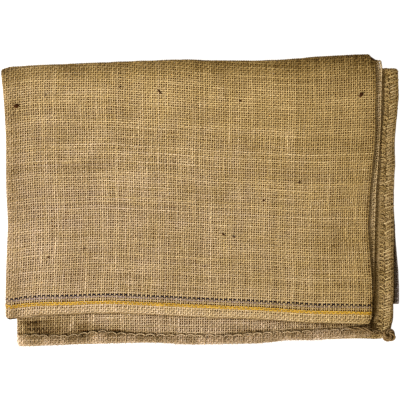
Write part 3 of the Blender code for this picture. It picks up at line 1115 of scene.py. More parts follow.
@dataclass
class GroundCloth:
    """The sack's cloth itself, one closed wall folded twice, lowered where yarns lie over it."""

    form: FoldedForm
    material: Material
    name: str = "folded_cloth"
    dip: float = 0.9 * MM
    step: float = 7 * MM
    fine_step: float = 1.3 * MM
    fine_width: float = 15.5 * MM
    inner_step: float = 20 * MM
    plain_width: float = 256 * MM
    sewn_width: float = 280 * MM
    mouth_length: float = 362 * MM
    sewn_length: float = 382 * MM
    fold_steps: int = 16
    edge_steps: int = 10
    rim_steps: int = 3
    end_steps: int = 4
    mouth_inset: float = 0.9 * MM
    lip_inset: float = 0.6 * MM
    hem_width: float = 34 * MM
    mouth_width: float = 12 * MM
    corner: Pair = (18 * MM, 78 * MM)
    roll_start: float = 262 * MM
    flat: Pair = (1.08, 0.76)

    def shares(self, width: float, fine_width: float, step: float) -> list[float]:
        """Shares of a width from its edge inwards, close ones first and then even ones."""
        rest = np.linspace(fine_width, width, max(2, round((width - fine_width) / step)))
        return [float(place) / width for place in (*np.arange(0.0, fine_width, self.fine_step), *rest)]

    def ring(self, half: float, plain_inset: float, sewn_inset: float) -> list[Place]:
        """The places round the tube: over the outer ply, round the sewn side and back over the inner.

        Args:
            half: the height of the surface from the middle between the plies.
            plain_inset: how far the middle of the plain side's round edge is from the side.
            sewn_inset: the same at the sewn side.

        Returns:
            The ring's places.
        """
        plain = self.shares(self.plain_width, 0.0, self.step)
        sewn = self.shares(self.sewn_width, self.fine_width, self.step)
        over = [Place(0.0, share, plain_inset * (1 - share), QUARTER, half) for share in plain]
        for k in range(1, self.edge_steps):
            share = k / self.edge_steps
            over.append(Place(float(ease(share)), 1.0, 0.0, QUARTER - math.pi * share, half))
        over += [Place(1.0, share, sewn_inset * (1 - share), -QUARTER, half) for share in sewn[::-1]]
        angles = [QUARTER * k / self.rim_steps for k in range(self.rim_steps)]
        rims = [
            [Place(past, 0.0, inset - half * math.cos(a), turn, half * math.sin(a)) for a in angles]
            for past, inset, turn in ((0.0, plain_inset, QUARTER), (1.0, sewn_inset, -QUARTER))
        ]
        top = rims[0] + over + rims[1][::-1]
        return top + [place._replace(lift=-place.lift) for place in top[-2:0:-1]]

    def stations(self, inset: float, round_end: float, step: float) -> list[Place]:
        """The places along the sack, from the sewn end round the fold to the mouth.

        Args:
            inset: how far the surface ends from the sewn end.
            round_end: the reach of its round end.
            step: the distance between places.

        Returns:
            The places.
        """
        fine = step < self.inner_step
        angles = [QUARTER * (1 - (k + 0.2) / self.end_steps) for k in range(self.end_steps)]
        row = [Place(1.0, 1.0, -inset - round_end * (1 - math.sin(a)), -QUARTER, math.cos(a)) for a in angles]
        start = inset + round_end
        sewn = self.shares(self.sewn_length, self.fine_width if fine else 0.0, step)
        row += [Place(1.0, 1 - share, -start * (1 - share), -QUARTER) for share in sewn]
        steps = self.fold_steps if fine else self.fold_steps // 2
        turns = [math.pi * k / steps - QUARTER for k in range(1, steps)]
        row += [Place((1 - math.sin(turn)) / 2, 0.0, 0.0, turn) for turn in turns]
        mouth = self.shares(self.mouth_length, 0.0, step)[::-1]
        return row + [Place(0.0, 1 - share, -self.mouth_inset * (1 - share), QUARTER) for share in mouth]

    def cover(self, stations: list[Place], ring: list[Place]) -> Array:
        """Where yarns lie over the cloth.

        Args:
            stations: the places along the sack.
            ring: the places round it.

        Returns:
            A row for each station, from 0 to 1.
        """
        lower, share_x, *_ = np.array(stations).T[:, :, None]
        second, share_y, _, _, height = np.array(ring).T[:, None, :]
        outer, inner = height > -0.2 * MM, height < 0.2 * MM
        from_side = share_y * mix(self.plain_width, self.sewn_width, second)
        to_end = (1 - share_x) * mix(self.mouth_length, self.sewn_length, lower)
        from_left = share_x * self.mouth_length
        corner_along, corner_across = self.corner
        plain_side, sewn_side, mouth_half, sewn_half = second < 0.9, second > 0.9, lower < 0.9, lower > 0.9
        upper = outer & plain_side & (mouth_half | (from_left < 8 * MM))
        strip = inner & sewn_side & (mouth_half | (from_left < 2 * MM)) & (from_side < self.hem_width)
        mouth = inner & sewn_side & (lower < 0.1) & (to_end < self.mouth_width)
        third = outer & sewn_side & sewn_half & (to_end < self.hem_width)
        roll = outer & (lower > 0.5) & (second > 0.02) & (from_side > self.roll_start)
        lowest = inner & (second < 0.1) & sewn_half & (to_end < corner_along) & (from_side < corner_across)
        return (upper | strip | mouth | third | roll | lowest).astype(float)

    def build(self) -> Object:
        """Makes the cloth and dresses it.

        Returns:
            The cloth.
        """
        form = self.form
        edge, half_in = form.edge_centre, (form.pitch - form.ply) / 2
        ring, stations = self.ring(edge, edge, edge), self.stations(0.0, edge, self.step)
        cover = self.cover(stations, ring)
        lowered = self.ring(edge - self.dip, edge, edge)
        outer = mix(form.spot(stations, ring), form.spot(stations, lowered), cover[..., None])
        lip = form.spot([Place(0.0, 1.0, -self.lip_inset, QUARTER)], self.ring(form.half_gap, edge, edge))
        inner_stations = self.stations(form.seam_band, half_in, self.inner_step)[::-1]
        inner = form.spot(inner_stations, self.ring(half_in, edge, form.seam_band))
        points = np.concatenate([outer, lip, inner])
        shown = np.zeros(points.shape[:2])
        # how much of the painted shadow colour shows: all of it where yarns lie over the cloth, less on its
        # rims
        rim = (np.array(ring)[:, -1] / edge) ** 2
        shown[: len(outer)] = cover * mix(0.55, 1.0, rim)
        return self.mesh(points, shown)

    def mesh(self, points: Array, cover: Array) -> Object:
        """The closed mesh through a row of rings.

        Args:
            points: ring, corner, xyz.
            cover: where yarns lie over it, for each point.

        Returns:
            The object.
        """
        rings, corners, _ = points.shape
        closed = np.concatenate([points, points[:, :1]], axis=1)
        steps = [np.linalg.norm(np.diff(points, axis=0), axis=-1).mean(1)]
        steps.append(np.linalg.norm(np.diff(closed, axis=1), axis=-1).mean(0))
        u, v = (np.concatenate([[0.0], np.cumsum(step)]) / np.sum(step) for step in steps)
        quads, uv = wall(1, u, v)
        flat = points.reshape(-1, 3)
        if faces_in(flat, quads):
            quads, uv = quads[:, ::-1], uv[:, ::-1]
        loops, sizes, cap_uv = [], [], []
        for ring, way in ((0, 1), (rings - 1, -1)):
            for k in range(corners // 2):
                face = list(dict.fromkeys((k, k + 1, corners - k - 1, (corners - k) % corners)))[::way]
                loops += [ring * corners + corner for corner in face]
                sizes.append(len(face))
                cap_uv += [(float(ring > 0), corner / corners) for corner in face]
        loops = np.concatenate([quads.ravel(), loops])
        sizes = np.concatenate([np.full(len(quads), 4), sizes])
        uv = np.concatenate([uv.reshape(-1, 2), cap_uv])
        return new_object(self.name, flat, loops, sizes, [self.material], uv, cover=cover.ravel())


class Stripe(NamedTuple):
    """A lengthwise yarn: its finish, width and lift, and the crosswise yarns' width over it."""

    finish: int = 0
    width: float = 1.0
    lift: float = 0.0
    over: float = 1.0


class Look(NamedTuple):
    """How the yarns of a place look: how closed the weave is, and their tone and tint."""

    closed: Values
    tone: Values
    tint: Values


@dataclass
class HandlingAndShade:
    """How the sack's yarns look where it has been pressed and pulled, with much painted shade and light and
    some stains, at places along it (x) and across it (y).
    """

    form: FoldedForm
    x: Array
    y: Array
    edge_shade: float = 0.68
    edge_reach: float = 0.9 * MM
    edge_start: float = 0.3 * MM
    rim: Band = Band(0.0, 1.2 * MM)
    # painted light: a tint that grows towards the left, right and top, as the light falls on the sack
    painted_light_tints: tuple[float, float, float] = (-3.0, -5.0, -7.5)  # to the left, right and top

    top_closed: float = 1.15
    closing: float = 1.3
    top_reach: Slope = Slope(20 * MM, 80 * MM, 22 * MM, 34 * MM)
    top_shade: Slope = Slope(-140 * MM, 100 * MM, 0.425, 0.525)
    left_reach: float = 21 * MM
    left_shade: float = 0.30
    left_tint: float = 0.2
    rim_shade: float = 0.42
    slack: Slope = Slope(-20 * MM, 130 * MM)
    slack_open: float = 0.45
    slack_light: float = 0.07
    beside_stripes: Band = Band(6.0 * MM, 3.5 * MM, 0.06)
    selvedge_width: float = 5.0 * MM
    selvedge: Band = Band(0.0, 6.5 * MM)
    selvedge_shade: float = 0.14
    selvedge_wear: Band = Band(-40 * MM, 60 * MM, 0.12)

    above_seam: Band = Band(0.9 * MM, 1.1 * MM)
    above_shade: Pair = (0.68, 0.20)  # everywhere, and more where the loops meet
    below_seam: Band = Band(-2.6 * MM, 1.5 * MM)
    below_shade: Pair = (0.30, -0.15)
    broken: Pair = (0.75, 0.25)
    broken_waves: Pair = (2.1 * MM, 5.7 * MM)
    mottle_waves: Pair = (6.1 * MM, 14.3 * MM)
    fine_wave: float = 2.7 * MM
    seam_phase: float = 166 * MM
    hem_start: float = 2 * MM
    hem_rough: Slope = Slope(-110 * MM, 30 * MM, 1.8, 1.0)
    hem_closed: float = 1.7
    strip_end: Band = Band(0.0, 2.5 * MM, 0.30)
    strip_middle: Band = Band(20 * MM, 110 * MM, 0.4)
    deepest: float = 0.83

    mouth_tone: Slope = Slope(-50 * MM, 50 * MM, -0.04, 0.34)
    mouth_top: Slope = Slope(50 * MM, 50 * MM, 0.0, 0.12)

    end_spread: Slope = Slope(-80 * MM, 60 * MM, 2.6, 1.0)
    end_low: Slope = Slope(-126 * MM, 6 * MM, 0.45)
    end_high: Slope = Slope(0.0, 40 * MM, 0.88, 0.72)
    end_inner: Slope = Slope(6 * MM, 3 * MM)
    end_rim: Slope = Slope(-60 * MM, 50 * MM, 0.57, 0.22)
    end_ridge: Band = Band(13.5 * MM, 2.5 * MM)
    end_ridge_shade: Slope = Slope(-60 * MM, 50 * MM, 0.28, 0.0)
    end_top: Slope = Slope(60 * MM, 30 * MM, 0.24, 0.30)
    end_tint: Slope = Slope(0.0, 100 * MM, -0.25, -0.75)

    def spots(self, table: Sequence[Spot]) -> Array:
        """The shade of a table's places."""
        return sum(spot.shade * spot.weight(self.x, self.y) for spot in table)

    def below(self, distance: Array) -> Array:
        """The painted shade beside the edge of a leaf that lies above, from the distance to it."""
        return self.edge_shade * np.exp(-np.maximum(distance, 0.0) / self.edge_reach)

    def painted_light_tint(self) -> Array:
        """Painted light in the jute's tint: paler towards the left, where the light falls, yellower towards
        the right and the top, which lie in more shade.
        """
        ways = np.minimum(self.x, 0.0), np.maximum(self.x, 0.0), np.maximum(self.y, 0.0)
        return sum(painted_light_tint * way for painted_light_tint, way in zip(self.painted_light_tints, ways))

    def upper(self) -> Look:
        """The upper leaf: closed at its folds and along its striped side, with painted shade towards both
        folds and at its rim.

        Returns:
            Its look at each place.
        """
        form, x, y = self.form, self.x, self.y
        from_side = y - form.side["upper"](x)
        to_fold = (form.side["fold_upper"](x) - y) / self.top_reach.at(x)
        top = np.clip(self.top_closed * (1 - to_fold), 0.0, 1.0)
        left = ease(self.closing * (1 - (x - form.end["left_outer"](y)) / self.left_reach))
        rim = np.maximum(self.rim.at(np.maximum(from_side, 0.0)), 0.9 * self.rim.at(form.end["upper"](y) - x))
        selvedge = self.selvedge.at(np.maximum(from_side - self.selvedge_width, 0.0))
        slack = self.slack.at(x) * (1 - top)
        # painted shade towards the fold across the width and the fold along the length, and at the leaf's
        # rounded rim
        shade = self.top_shade.at(x) * top + self.left_shade * left + self.rim_shade * rim * (1 - top)
        shade = shade + selvedge * (self.selvedge_shade - self.selvedge_wear.at(x)) + self.spots(SHADE_AND_STAINS)
        tone = self.beside_stripes.at(from_side) + self.slack_light * slack - shade
        pressed = np.maximum(ease(self.closing * top), 0.8 * left) - self.slack_open * slack
        return Look(np.maximum(pressed, 0.85 * selvedge), tone, self.painted_light_tint() + self.left_tint * left)

    def strip(self) -> Look:
        """The second leaf's sewn side, with painted shade in its hollows, along the seam's groove, at its
        mouth end and beside the leaf above.

        Returns:
            Its look at each place.
        """
        form, x, y = self.form, self.x, self.y
        above = y - form.seam_line(x)
        junction = 0.5 + 0.5 * np.cos(TURN * (x - self.seam_phase) / form.loop_pitch)
        seam, under = (even + more * junction for even, more in (self.above_shade, self.below_shade))
        broken, slow = self.broken_waves
        even, more = self.broken
        broken = even + more * np.sin(x / broken + 2 * np.sin(x / slow))
        # painted shade: a broken line beside the upper leaf's edge, a band above and below the seam line, the
        # hollows and the mouth end
        shade = self.below(form.side["upper"](x) - y) * broken
        shade = shade + seam * self.above_seam.at(above) + under * self.below_seam.at(above)
        shade = shade + self.spots(HOLLOWS_AND_SHADE) + self.strip_end.at(form.end["second"](y) - x)
        hem = ease(-above / self.hem_start)
        quick, slow = self.mottle_waves
        mottle = 0.16 * self.hem_rough.at(x) * np.sin(x / quick + 1.3 * np.sin(x / slow))
        mottle = mottle + 0.10 * np.sin(x / self.fine_wave + 1.7)
        shade = shade + hem * (form.hem_darkening(x) + 0.05 - mottle)
        tint = self.strip_middle.at(x) + 0.35 + 0.45 * hem
        return Look(self.hem_closed * hem, -np.minimum(shade, self.deepest), tint)

    def mouth(self) -> Look:
        """The second leaf at the mouth, beside the upper leaf's end: painted light lifts it against that
        leaf's shadow, and painted shade darkens it beside that end and at its own edge.

        Returns:
            Its look at each place.
        """
        # painted shade beside the upper leaf's end and at this leaf's rim; mouth_tone and mouth_top add
        # painted light
        edge = 0.45 * self.below(self.x - self.form.end["upper"](self.y) - self.edge_start)
        rim = 0.30 * self.rim.at(self.form.end["second"](self.y) - self.x)
        return Look(0.4, self.mouth_tone.at(self.y) + self.mouth_top.at(self.y) - edge - rim, -0.2)

    def end(self) -> Look:
        """The third leaf's sewn end, with painted shade towards the leaves above, at its own edge and along a
        ridge, and darker all over.

        Returns:
            Its look at each place.
        """
        form, x, y = self.form, self.x, self.y
        from_cover = x - np.maximum(form.end["second"](y), form.end["upper"](y)) - self.edge_start
        edge = self.below(from_cover / self.end_spread.at(y)) * self.end_low.at(y) * self.end_high.at(y)
        from_end = form.end["third"](y) - x
        inner = self.end_inner.at(from_end)
        rim = self.end_rim.at(y) * self.rim.at(from_end)
        ridge = self.end_ridge_shade.at(y) * self.end_ridge.at(from_end)
        # painted shade: towards the leaves above, at the rim and on the ridge
        shade = self.end_top.at(y) + 0.10 * inner + edge + rim + ridge
        return Look(mix(1.8, 0.6, inner), -shade, self.end_tint.at(y) - 0.2 * inner)

    def lowest(self) -> Look:
        """The lowest leaf's corner, darkened and greyed with painted shade, as it lies in shadow below the
        third leaf.
        """
        edge = self.below(self.x - self.form.end["third"](self.y) - self.edge_start)
        return Look(1.6, -0.56 - edge, 1.5)

    def plain(self) -> Look:
        """A part with nothing special."""
        return Look(0.0, -0.15, 0.0)


@dataclass
class YarnPanel:
    """The woven yarns over one part of the cloth, as two bundles: crosswise and lengthwise."""

    name: str
    form: FoldedForm
    leaf: Leaf
    columns: Array  # where the crosswise yarns are, along the sack
    rows: Array  # how far the lengthwise yarns are from their line
    row_line: Rule  # their place across, from along and that distance
    shift: Rule  # how far the crosswise yarns are off, from along and across
    look: Callable[[HandlingAndShade], Look]
    seed: int
    width: float = 1.30 * MM
    thickness: float = 0.72 * MM
    wave: float = 0.34 * MM
    wave_spread: float = 0.15
    own_width: float = 0.11
    slow_width: float = 0.10
    slub_chance: float = 0.25
    slub_size: Pair = (0.2, 0.6)
    slub_reach: Pair = (1.5, 4.0)
    width_range: Pair = (0.6, 1.75)
    wobble: float = 0.13 * MM
    tones: tuple[float, float, float] = (0.075, 0.06, 0.05)  # from yarn to yarn, along it, at each place
    slub_tone: float = 0.25
    tints: Pair = (0.12, 0.1)  # from yarn to yarn, along it
    corners: int = 4
    tight_rows: int = 0  # rows next to the edge whose yarns lie close
    tight_fade: float = 3.0
    tight_widths: Pair = (0.15, 0.30)
    tight_tone: float = 0.08
    tight_tint: float = 0.3
    end_drop: bool = True
    end_past: float = 0.55  # of a yarn's width
    closing: float = 0.38
    row_contrast: float = 1.3
    own_finishes: Sequence[Material] = ()  # finishes of its own
    stripes: dict[int, Stripe] = field(default_factory=dict)

    def crossings(self) -> tuple[Array, Array]:
        """Where each crosswise yarn meets each lengthwise one.

        Returns:
            The places along and across.
        """
        x0 = np.broadcast_to(self.columns[:, None], (len(self.columns), len(self.rows)))
        y = self.row_line(x0, self.rows)
        for _ in range(3):
            x = x0 + self.shift(x0, y)
            y = self.row_line(x, self.rows)
        return x, y

    def spun(self, rng: Random, count: int, length: int) -> tuple[Array, Array, Array, Array]:
        """How the yarns vary along their length.

        Args:
            rng: the source of the variation.
            count: how many yarns there are.
            length: how many places each has.

        Returns:
            Their width as a factor, their wobble sideways, their tone and their tint.
        """
        own = 1 + self.own_width * rng.standard_normal((count, 1)).clip(-2, 2.2)
        slow = 1 + self.slow_width * wander(rng, (count, length), 5.0)
        slubs = np.zeros((count, length))
        for _ in range(2):
            centre = rng.uniform(0, length, (count, 1))
            size = rng.uniform(*self.slub_size, (count, 1))
            size = size * (rng.uniform(size=(count, 1)) < self.slub_chance)
            slubs += size * hump(np.arange(length) - centre, rng.uniform(*self.slub_reach, (count, 1)))
        width = (own * slow + slubs).clip(*self.width_range)
        wobble = self.wobble * wander(rng, (count, length), 1.6)
        each, along, everywhere = self.tones
        tone = each * rng.standard_normal((count, 1)) + along * wander(rng, (count, length), 4.0)
        tone = tone + everywhere * rng.standard_normal((count, length)) + self.slub_tone * slubs
        each, along = self.tints
        tint = each * rng.standard_normal((count, 1)) + along * wander(rng, (count, length), 6.0)
        return width, wobble, tone, tint

    def build(self, materials: Sequence[Material]) -> list[Object]:
        """Makes the two bundles and dresses them.

        Args:
            materials: the finishes, the plain yarn's first.

        Returns:
            The crosswise and the lengthwise bundle.
        """
        rng = np.random.default_rng(self.seed)
        x, y = self.crossings()
        columns, rows = x.shape
        parity = (np.arange(columns)[:, None] + np.arange(rows)) % 2 * 2.0 - 1.0
        depth = self.wave * parity * (1 + self.wave_spread * rng.standard_normal(parity.shape))
        tight = ease((self.tight_rows - np.arange(rows)) / self.tight_fade)
        look = self.look(HandlingAndShade(self.form, x, y))
        closed, tone, tint = (np.broadcast_to(part, x.shape) for part in look)
        finish, own_width, proud, over = np.array([self.stripes.get(k, Stripe()) for k in range(rows)]).T
        cross_width, cross_wobble, cross_tone, cross_tint = self.spun(rng, columns, rows)
        length_width, length_wobble, length_tone, length_tint = self.spun(rng, rows, columns)
        snug = 1 + self.closing * closed
        cross_tight, length_tight = (1 + share * tight for share in self.tight_widths)
        tone, tint = tone + self.tight_tone * tight, tint + self.tight_tint * tight
        cross_tone, cross_tint = cross_tone + tone, cross_tint + tint
        length_tone, length_tint = self.row_contrast * length_tone + tone.T, length_tint + tint.T
        cross_width = self.width * cross_width * cross_tight * snug * over
        length_width = self.width * length_width * (length_tight * snug * own_width).T
        x = x + cross_wobble
        y = y + length_wobble.T
        angle = TURN * np.arange(self.corners) / self.corners
        wide, high = np.cos(angle) / 2, self.thickness * np.sin(angle) / 2
        spread = x[..., None] + cross_width[..., None] * wide
        crosswise = self.form.lay(spread, y[..., None], depth[..., None] + high, self.leaf)
        depth = (proud - depth).T
        long = [x.T, y.T, depth, length_width, length_tone, length_tint]
        if self.end_drop:
            long = [np.pad(part, ((0, 0), (1, 0)), "edge") for part in long]
            long[0][:, 0] += self.end_past * self.width
            long[2][:, 0] = -2 * self.wave
        long_x, long_y, depth, length_width, length_tone, length_tint = long
        spread = long_y[..., None] + length_width[..., None] * wide
        lengthwise = self.form.lay(long_x[..., None], spread, depth[..., None] + high, self.leaf)
        cross_name, length_name = (f"{self.name}_{way}_yarns" for way in ("crosswise", "lengthwise"))
        return [
            Strands(cross_name, materials[:1], crosswise, cross_tone, cross_tint).make(),
            Strands(length_name, materials, lengthwise, length_tone, length_tint, finish).make(),
        ]


@dataclass
class WovenFaces:
    """All the woven faces that show, as yarn panels over the ground cloth."""

    form: FoldedForm
    pitch_along: float = 2.27 * MM
    pitch_across: float = 2.30 * MM
    edge_pitch: float = 2.20 * MM
    first_row: float = -0.4 * MM
    edge_rows: int = 10
    navy_row: int = 9
    lilac_row: int = 8
    yellow_rows: tuple[int, int] = (5, 6)
    first_column: float = 174.4 * MM
    mouth_edge: float = 175 * MM
    straight_end: float = 100.5 * MM

    def __post_init__(self) -> None:
        """Makes the curves that the yarns follow, and the finishes."""
        self.drift = curves_of(DRIFT_NAMES, DRIFTS)
        self.crowding = curve_of(CROWDING)
        self.hessian = YarnFinish("hessian_yarn", from_screen(230, 206, 162)).material()
        # a greyer copy of the hessian for the lowest leaf's corner: painted shade
        self.shaded_hessian = YarnFinish("shaded_hessian_yarn", from_screen(214, 211, 216)).material()
        dyes = (("navy_yarn", 42, 35, 48), ("lilac_yarn", 174, 154, 140), ("yellow_yarn", 241, 197, 80))
        dyed = [YarnFinish(name, from_screen(*dye), unevenness=0.6) for name, *dye in dyes]
        self.dyed = [finish.material() for finish in dyed]

    def upper_shift(self, x: Array, y: Array) -> Array:
        """How far the upper leaf's crosswise yarns are off.

        Args:
            x: places along the sack.
            y: places across.

        Returns:
            The distances there.
        """
        left, middle, right = (self.drift[name](y) for name in ("left", "middle", "right"))
        low, centre, high = DRIFT_PLACES
        inward = mix(left, middle, climb(x, low, centre - low))
        outward = mix(middle, right, climb(x, centre, high - centre))
        edge = self.form.end["upper"](y) - self.mouth_edge
        return mix(np.where(x < centre, inward, outward), edge, climb(x, high, self.first_column - high))

    def upper_row(self, x: Array, distance: Array) -> Array:
        """Where across a lengthwise yarn of the upper leaf is, at a place along."""
        bow = FOLD_BOW.rise * MM * FOLD_BOW.weight(x, distance)
        return self.form.side["upper"](x) + distance * (1 - self.crowding(x)) + bow

    def roll_row(self, x: Array, distance: Array) -> Array:
        """Where across a lengthwise yarn of the lower fold is, at a place along."""
        return self.form.side["fold_lower"](x) - self.form.upper_radius + distance

    def still(self, x: Array, y: Array) -> Array:
        """The slight bends of crosswise yarns that nothing pulls."""
        return 0.5 * MM * np.sin(y / 0.017 + 40 * x)

    def even_rows(self, count: int) -> Array:
        """Distances of lengthwise yarns from an edge, closer beside it.

        Args:
            count: how many there are.

        Returns:
            The distances.
        """
        rows = self.first_row + self.edge_pitch * np.arange(self.edge_rows)
        first, second = self.yellow_rows
        rows[[first - 1, first, second]] += np.array([0.4, 0.05, -0.45]) * MM
        rest = rows[-1] + self.pitch_across * np.arange(1, count - self.edge_rows + 1)
        return np.concatenate([rows, rest])

    def from_side(self, name: str) -> Rule:
        """A rule that lays lengthwise yarns beside a leaf's long side."""
        side = self.form.side[name]
        return lambda x, distance: side(x) + distance + 0.3 * MM * np.sin(x / 0.021 + 90 * distance)

    def follow(self, name: str, reach: float) -> Rule:
        """A rule that lets crosswise yarns follow a leaf's end within a reach."""
        end, far = self.form.end[name], float(self.form.end[name](self.straight_end))
        return lambda x, y: (end(y) - far) * climb(x, far - reach, reach)

    def panels(self) -> list[YarnPanel]:
        """The panels, from the top of the stack down.

        Returns:
            The panels.
        """
        form, step, across = self.form, self.pitch_along, self.pitch_across
        stripes = {
            self.navy_row: Stripe(1, 0.95, 0.05 * MM, 1.15),
            self.lilac_row: Stripe(2, 1.2, 0.12 * MM, 0.75),
            **{row: Stripe(3, 1.25, 0.2 * MM, 0.5) for row in self.yellow_rows},
        }
        return [
            YarnPanel(
                "upper_leaf", form, Leaf.UPPER, self.first_column - step * np.arange(172),
                self.even_rows(124), self.upper_row, self.upper_shift, HandlingAndShade.upper, 11, tight_rows=5,
                stripes=stripes,
            ),
            YarnPanel(
                "second_leaf_side", form, Leaf.SECOND, np.arange(-190.5 * MM, 171.2 * MM, step)[::-1],
                self.even_rows(17), self.from_side("second"), self.still, HandlingAndShade.strip, 12,
                tight_rows=3,
            ),
            YarnPanel(
                "second_leaf_mouth", form, Leaf.SECOND, 180.8 * MM - step * np.arange(10),
                39.5 * MM + across * np.arange(104), self.from_side("second"), self.follow("second", 20 * MM),
                HandlingAndShade.mouth, 13,
            ),
            YarnPanel(
                "third_leaf_end", form, Leaf.THIRD, 197.4 * MM - step * np.arange(23),
                self.even_rows(119), self.from_side("third"), self.follow("third", 50 * MM),
                HandlingAndShade.end, 14, tight_rows=3,
            ),
            YarnPanel(
                "lowest_leaf_corner", form, Leaf.LOWEST, 194.1 * MM - step * np.arange(11),
                self.even_rows(42), self.from_side("lowest"), self.follow("lowest", 50 * MM),
                HandlingAndShade.lowest, 15, own_finishes=[self.shaded_hessian],
            ),
            YarnPanel(
                "lower_fold", form, Leaf.THIRD, np.arange(-183.0 * MM, 146.2 * MM, step)[::-1],
                across * np.arange(-4, 5) + 1.0 * MM, self.roll_row, self.still, HandlingAndShade.plain,
                16, end_drop=False,
            ),
        ]

    def build(self) -> list[Object]:
        """Makes all the panels and dresses them."""
        finishes = [self.hessian, *self.dyed]
        return [bundle for panel in self.panels() for bundle in panel.build(panel.own_finishes or finishes)]


@dataclass
class Sewing:
    """A piece made of strands of twine or fibre that lie over the folded cloth."""

    form: FoldedForm
    material: Material
    name: str
    radius: float
    points: int
    seed: int
    twine: Twine = Twine()
    unevenness: float = 0.15
    tone: float = 0.0
    tone_spread: float = 0.0
    tint: float = 0.0
    run: Pair = (0.0, 0.0)

    def __post_init__(self) -> None:
        """Starts the piece's random draws, and its shares of the way along a strand."""
        self.rng = np.random.default_rng(self.seed)
        self.share = np.linspace(0, 1, self.points)

    def starts(self, pitch: float) -> Array:
        """Where each strand starts, from the first to the last."""
        first, last = self.run
        return first + pitch * np.arange(int((last - first) / pitch))[:, None]

    def spread(self, count: int, reach: float) -> Array:
        """A random value about 0 for each strand."""
        return reach * self.rng.standard_normal((count, 1))

    def girth(self, count: int) -> Array:
        """Half the thickness of each strand."""
        return self.radius * (1 + self.spread(count, self.unevenness))

    def make(self, route: Array, size: Array, tone: Array) -> Object:
        """Makes the strands from their points, half widths and tones, and dresses them."""
        rings, tint = sweep(route, size, self.twine), 0 * tone + self.tint
        return Strands(self.name, [self.material], rings, tone, tint).make()


@dataclass
class HemLoops(Sewing):
    """The looped sewing of the long side: an arc over the groove for each loop, and a leg to the edge."""

    name: str = "hem_loop_stitches"
    radius: float = 0.62 * MM
    points: int = 9
    seed: int = 21
    tone: float = 0.14
    tone_spread: float = 0.08
    tint: float = 0.4
    run: Pair = (-180 * MM, 166 * MM)
    stray: float = 0.4 * MM
    lean: float = 0.5 * MM
    arc_span: Pair = (0.02, 0.98)  # of the pitch
    arc_across: Pair = (-1.7 * MM, 0.2 * MM)
    arc_height: Pair = (0.2 * MM, 1.5 * MM)
    leg_slant: float = 0.10  # of the pitch
    leg_inset: float = 1.3 * MM
    leg_past: float = 1.2 * MM
    leg_height: Pair = (0.7 * MM, 1.1 * MM)
    leg_size: float = 0.6
    bold_left: Slope = Slope(-125 * MM, 40 * MM, 0.62)
    bold_right: Slope = Slope(85 * MM, 30 * MM, 1.0, 0.75)

    def build(self) -> Object:
        """Makes the loops and dresses them.

        Returns:
            The piece.
        """
        form, pitch, share = self.form, self.form.loop_pitch, self.share
        starts = self.starts(pitch)
        count = len(starts)
        starts = starts + self.spread(count, self.stray)
        lean = self.spread(count, self.lean)
        x = starts + pitch * mix(*self.arc_span, share)
        rise = np.sin(math.pi * share) ** 0.6
        y = form.seam_line(x) + mix(*self.arc_across, rise) + lean * share
        arcs = form.lay(x, y, mix(*self.arc_height, rise), Leaf.SECOND)
        x = starts - self.leg_slant * pitch * share + lean
        top = form.seam_line(x[:, :1]) - self.leg_inset
        low = form.side["second"](x[:, :1]) - self.leg_past
        out = mix(*self.leg_height, np.sin(math.pi * share))
        legs = form.lay(x, mix(top, low, share), out, Leaf.SECOND)
        size = self.girth(2 * count)
        size[count:] *= self.leg_size
        size *= np.tile(self.bold_left.at(starts) * self.bold_right.at(starts), (2, 1))
        tone = self.tone + self.spread(2 * count, self.tone_spread)
        return self.make(np.concatenate([arcs, legs]), size, tone)


@dataclass
class EndStitches(Sewing):
    """The overhead sewing of the sewn end: slanted twine from the seam line over the edge."""

    name: str = "end_overhead_stitches"
    radius: float = 0.78 * MM
    points: int = 11
    seed: int = 22
    tone: float = 0.06
    tone_spread: float = 0.14
    tint: float = -0.8
    run: Pair = (-130 * MM, 130 * MM)
    pitch: float = 3.2 * MM
    bundle: float = 9.6 * MM
    bunching: float = 0.6 * MM
    stray: float = 0.4 * MM
    slant: float = 3.4 * MM
    slant_spread: float = 0.2
    reach: float = 8.0 * MM
    reach_spread: float = 1.3 * MM
    edge_inset: float = 1.0 * MM
    height: Pair = (0.3 * MM, 1.1 * MM)
    over_start: float = 0.8
    over_drop: float = 2.6 * MM
    over_push: Pair = (0.9 * MM, 0.6 * MM)
    bundle_shade: float = 0.12
    over_shade: float = 0.45

    def build(self) -> Object:
        """Makes the stitches and dresses them.

        Returns:
            The piece.
        """
        share, even = self.share, self.starts(self.pitch)
        count = len(even)
        bundled = np.sin(TURN * even / self.bundle)
        starts = even + self.bunching * bundled + self.spread(count, self.stray)
        y = starts + self.slant * share * (1 + self.spread(count, self.slant_spread))
        inner = self.reach + self.spread(count, self.reach_spread)
        x = self.form.end["third"](y) - inner * (1 - share) - self.edge_inset
        out = mix(*self.height, np.sin(math.pi * np.clip(share * 1.15, 0, 1)) ** 0.7)
        route = self.form.lay(x, y, out, Leaf.THIRD)
        over = np.clip((share - self.over_start) / (1 - self.over_start), 0, 1)
        push, more = self.over_push
        route[..., 2] -= self.over_drop * over**2
        route[..., 0] += (push + more * bundled) * over
        size = self.girth(count)
        tone = self.spread(count, self.tone_spread) - self.bundle_shade * bundled
        return self.make(route, size, tone - self.over_shade * over + self.tone)


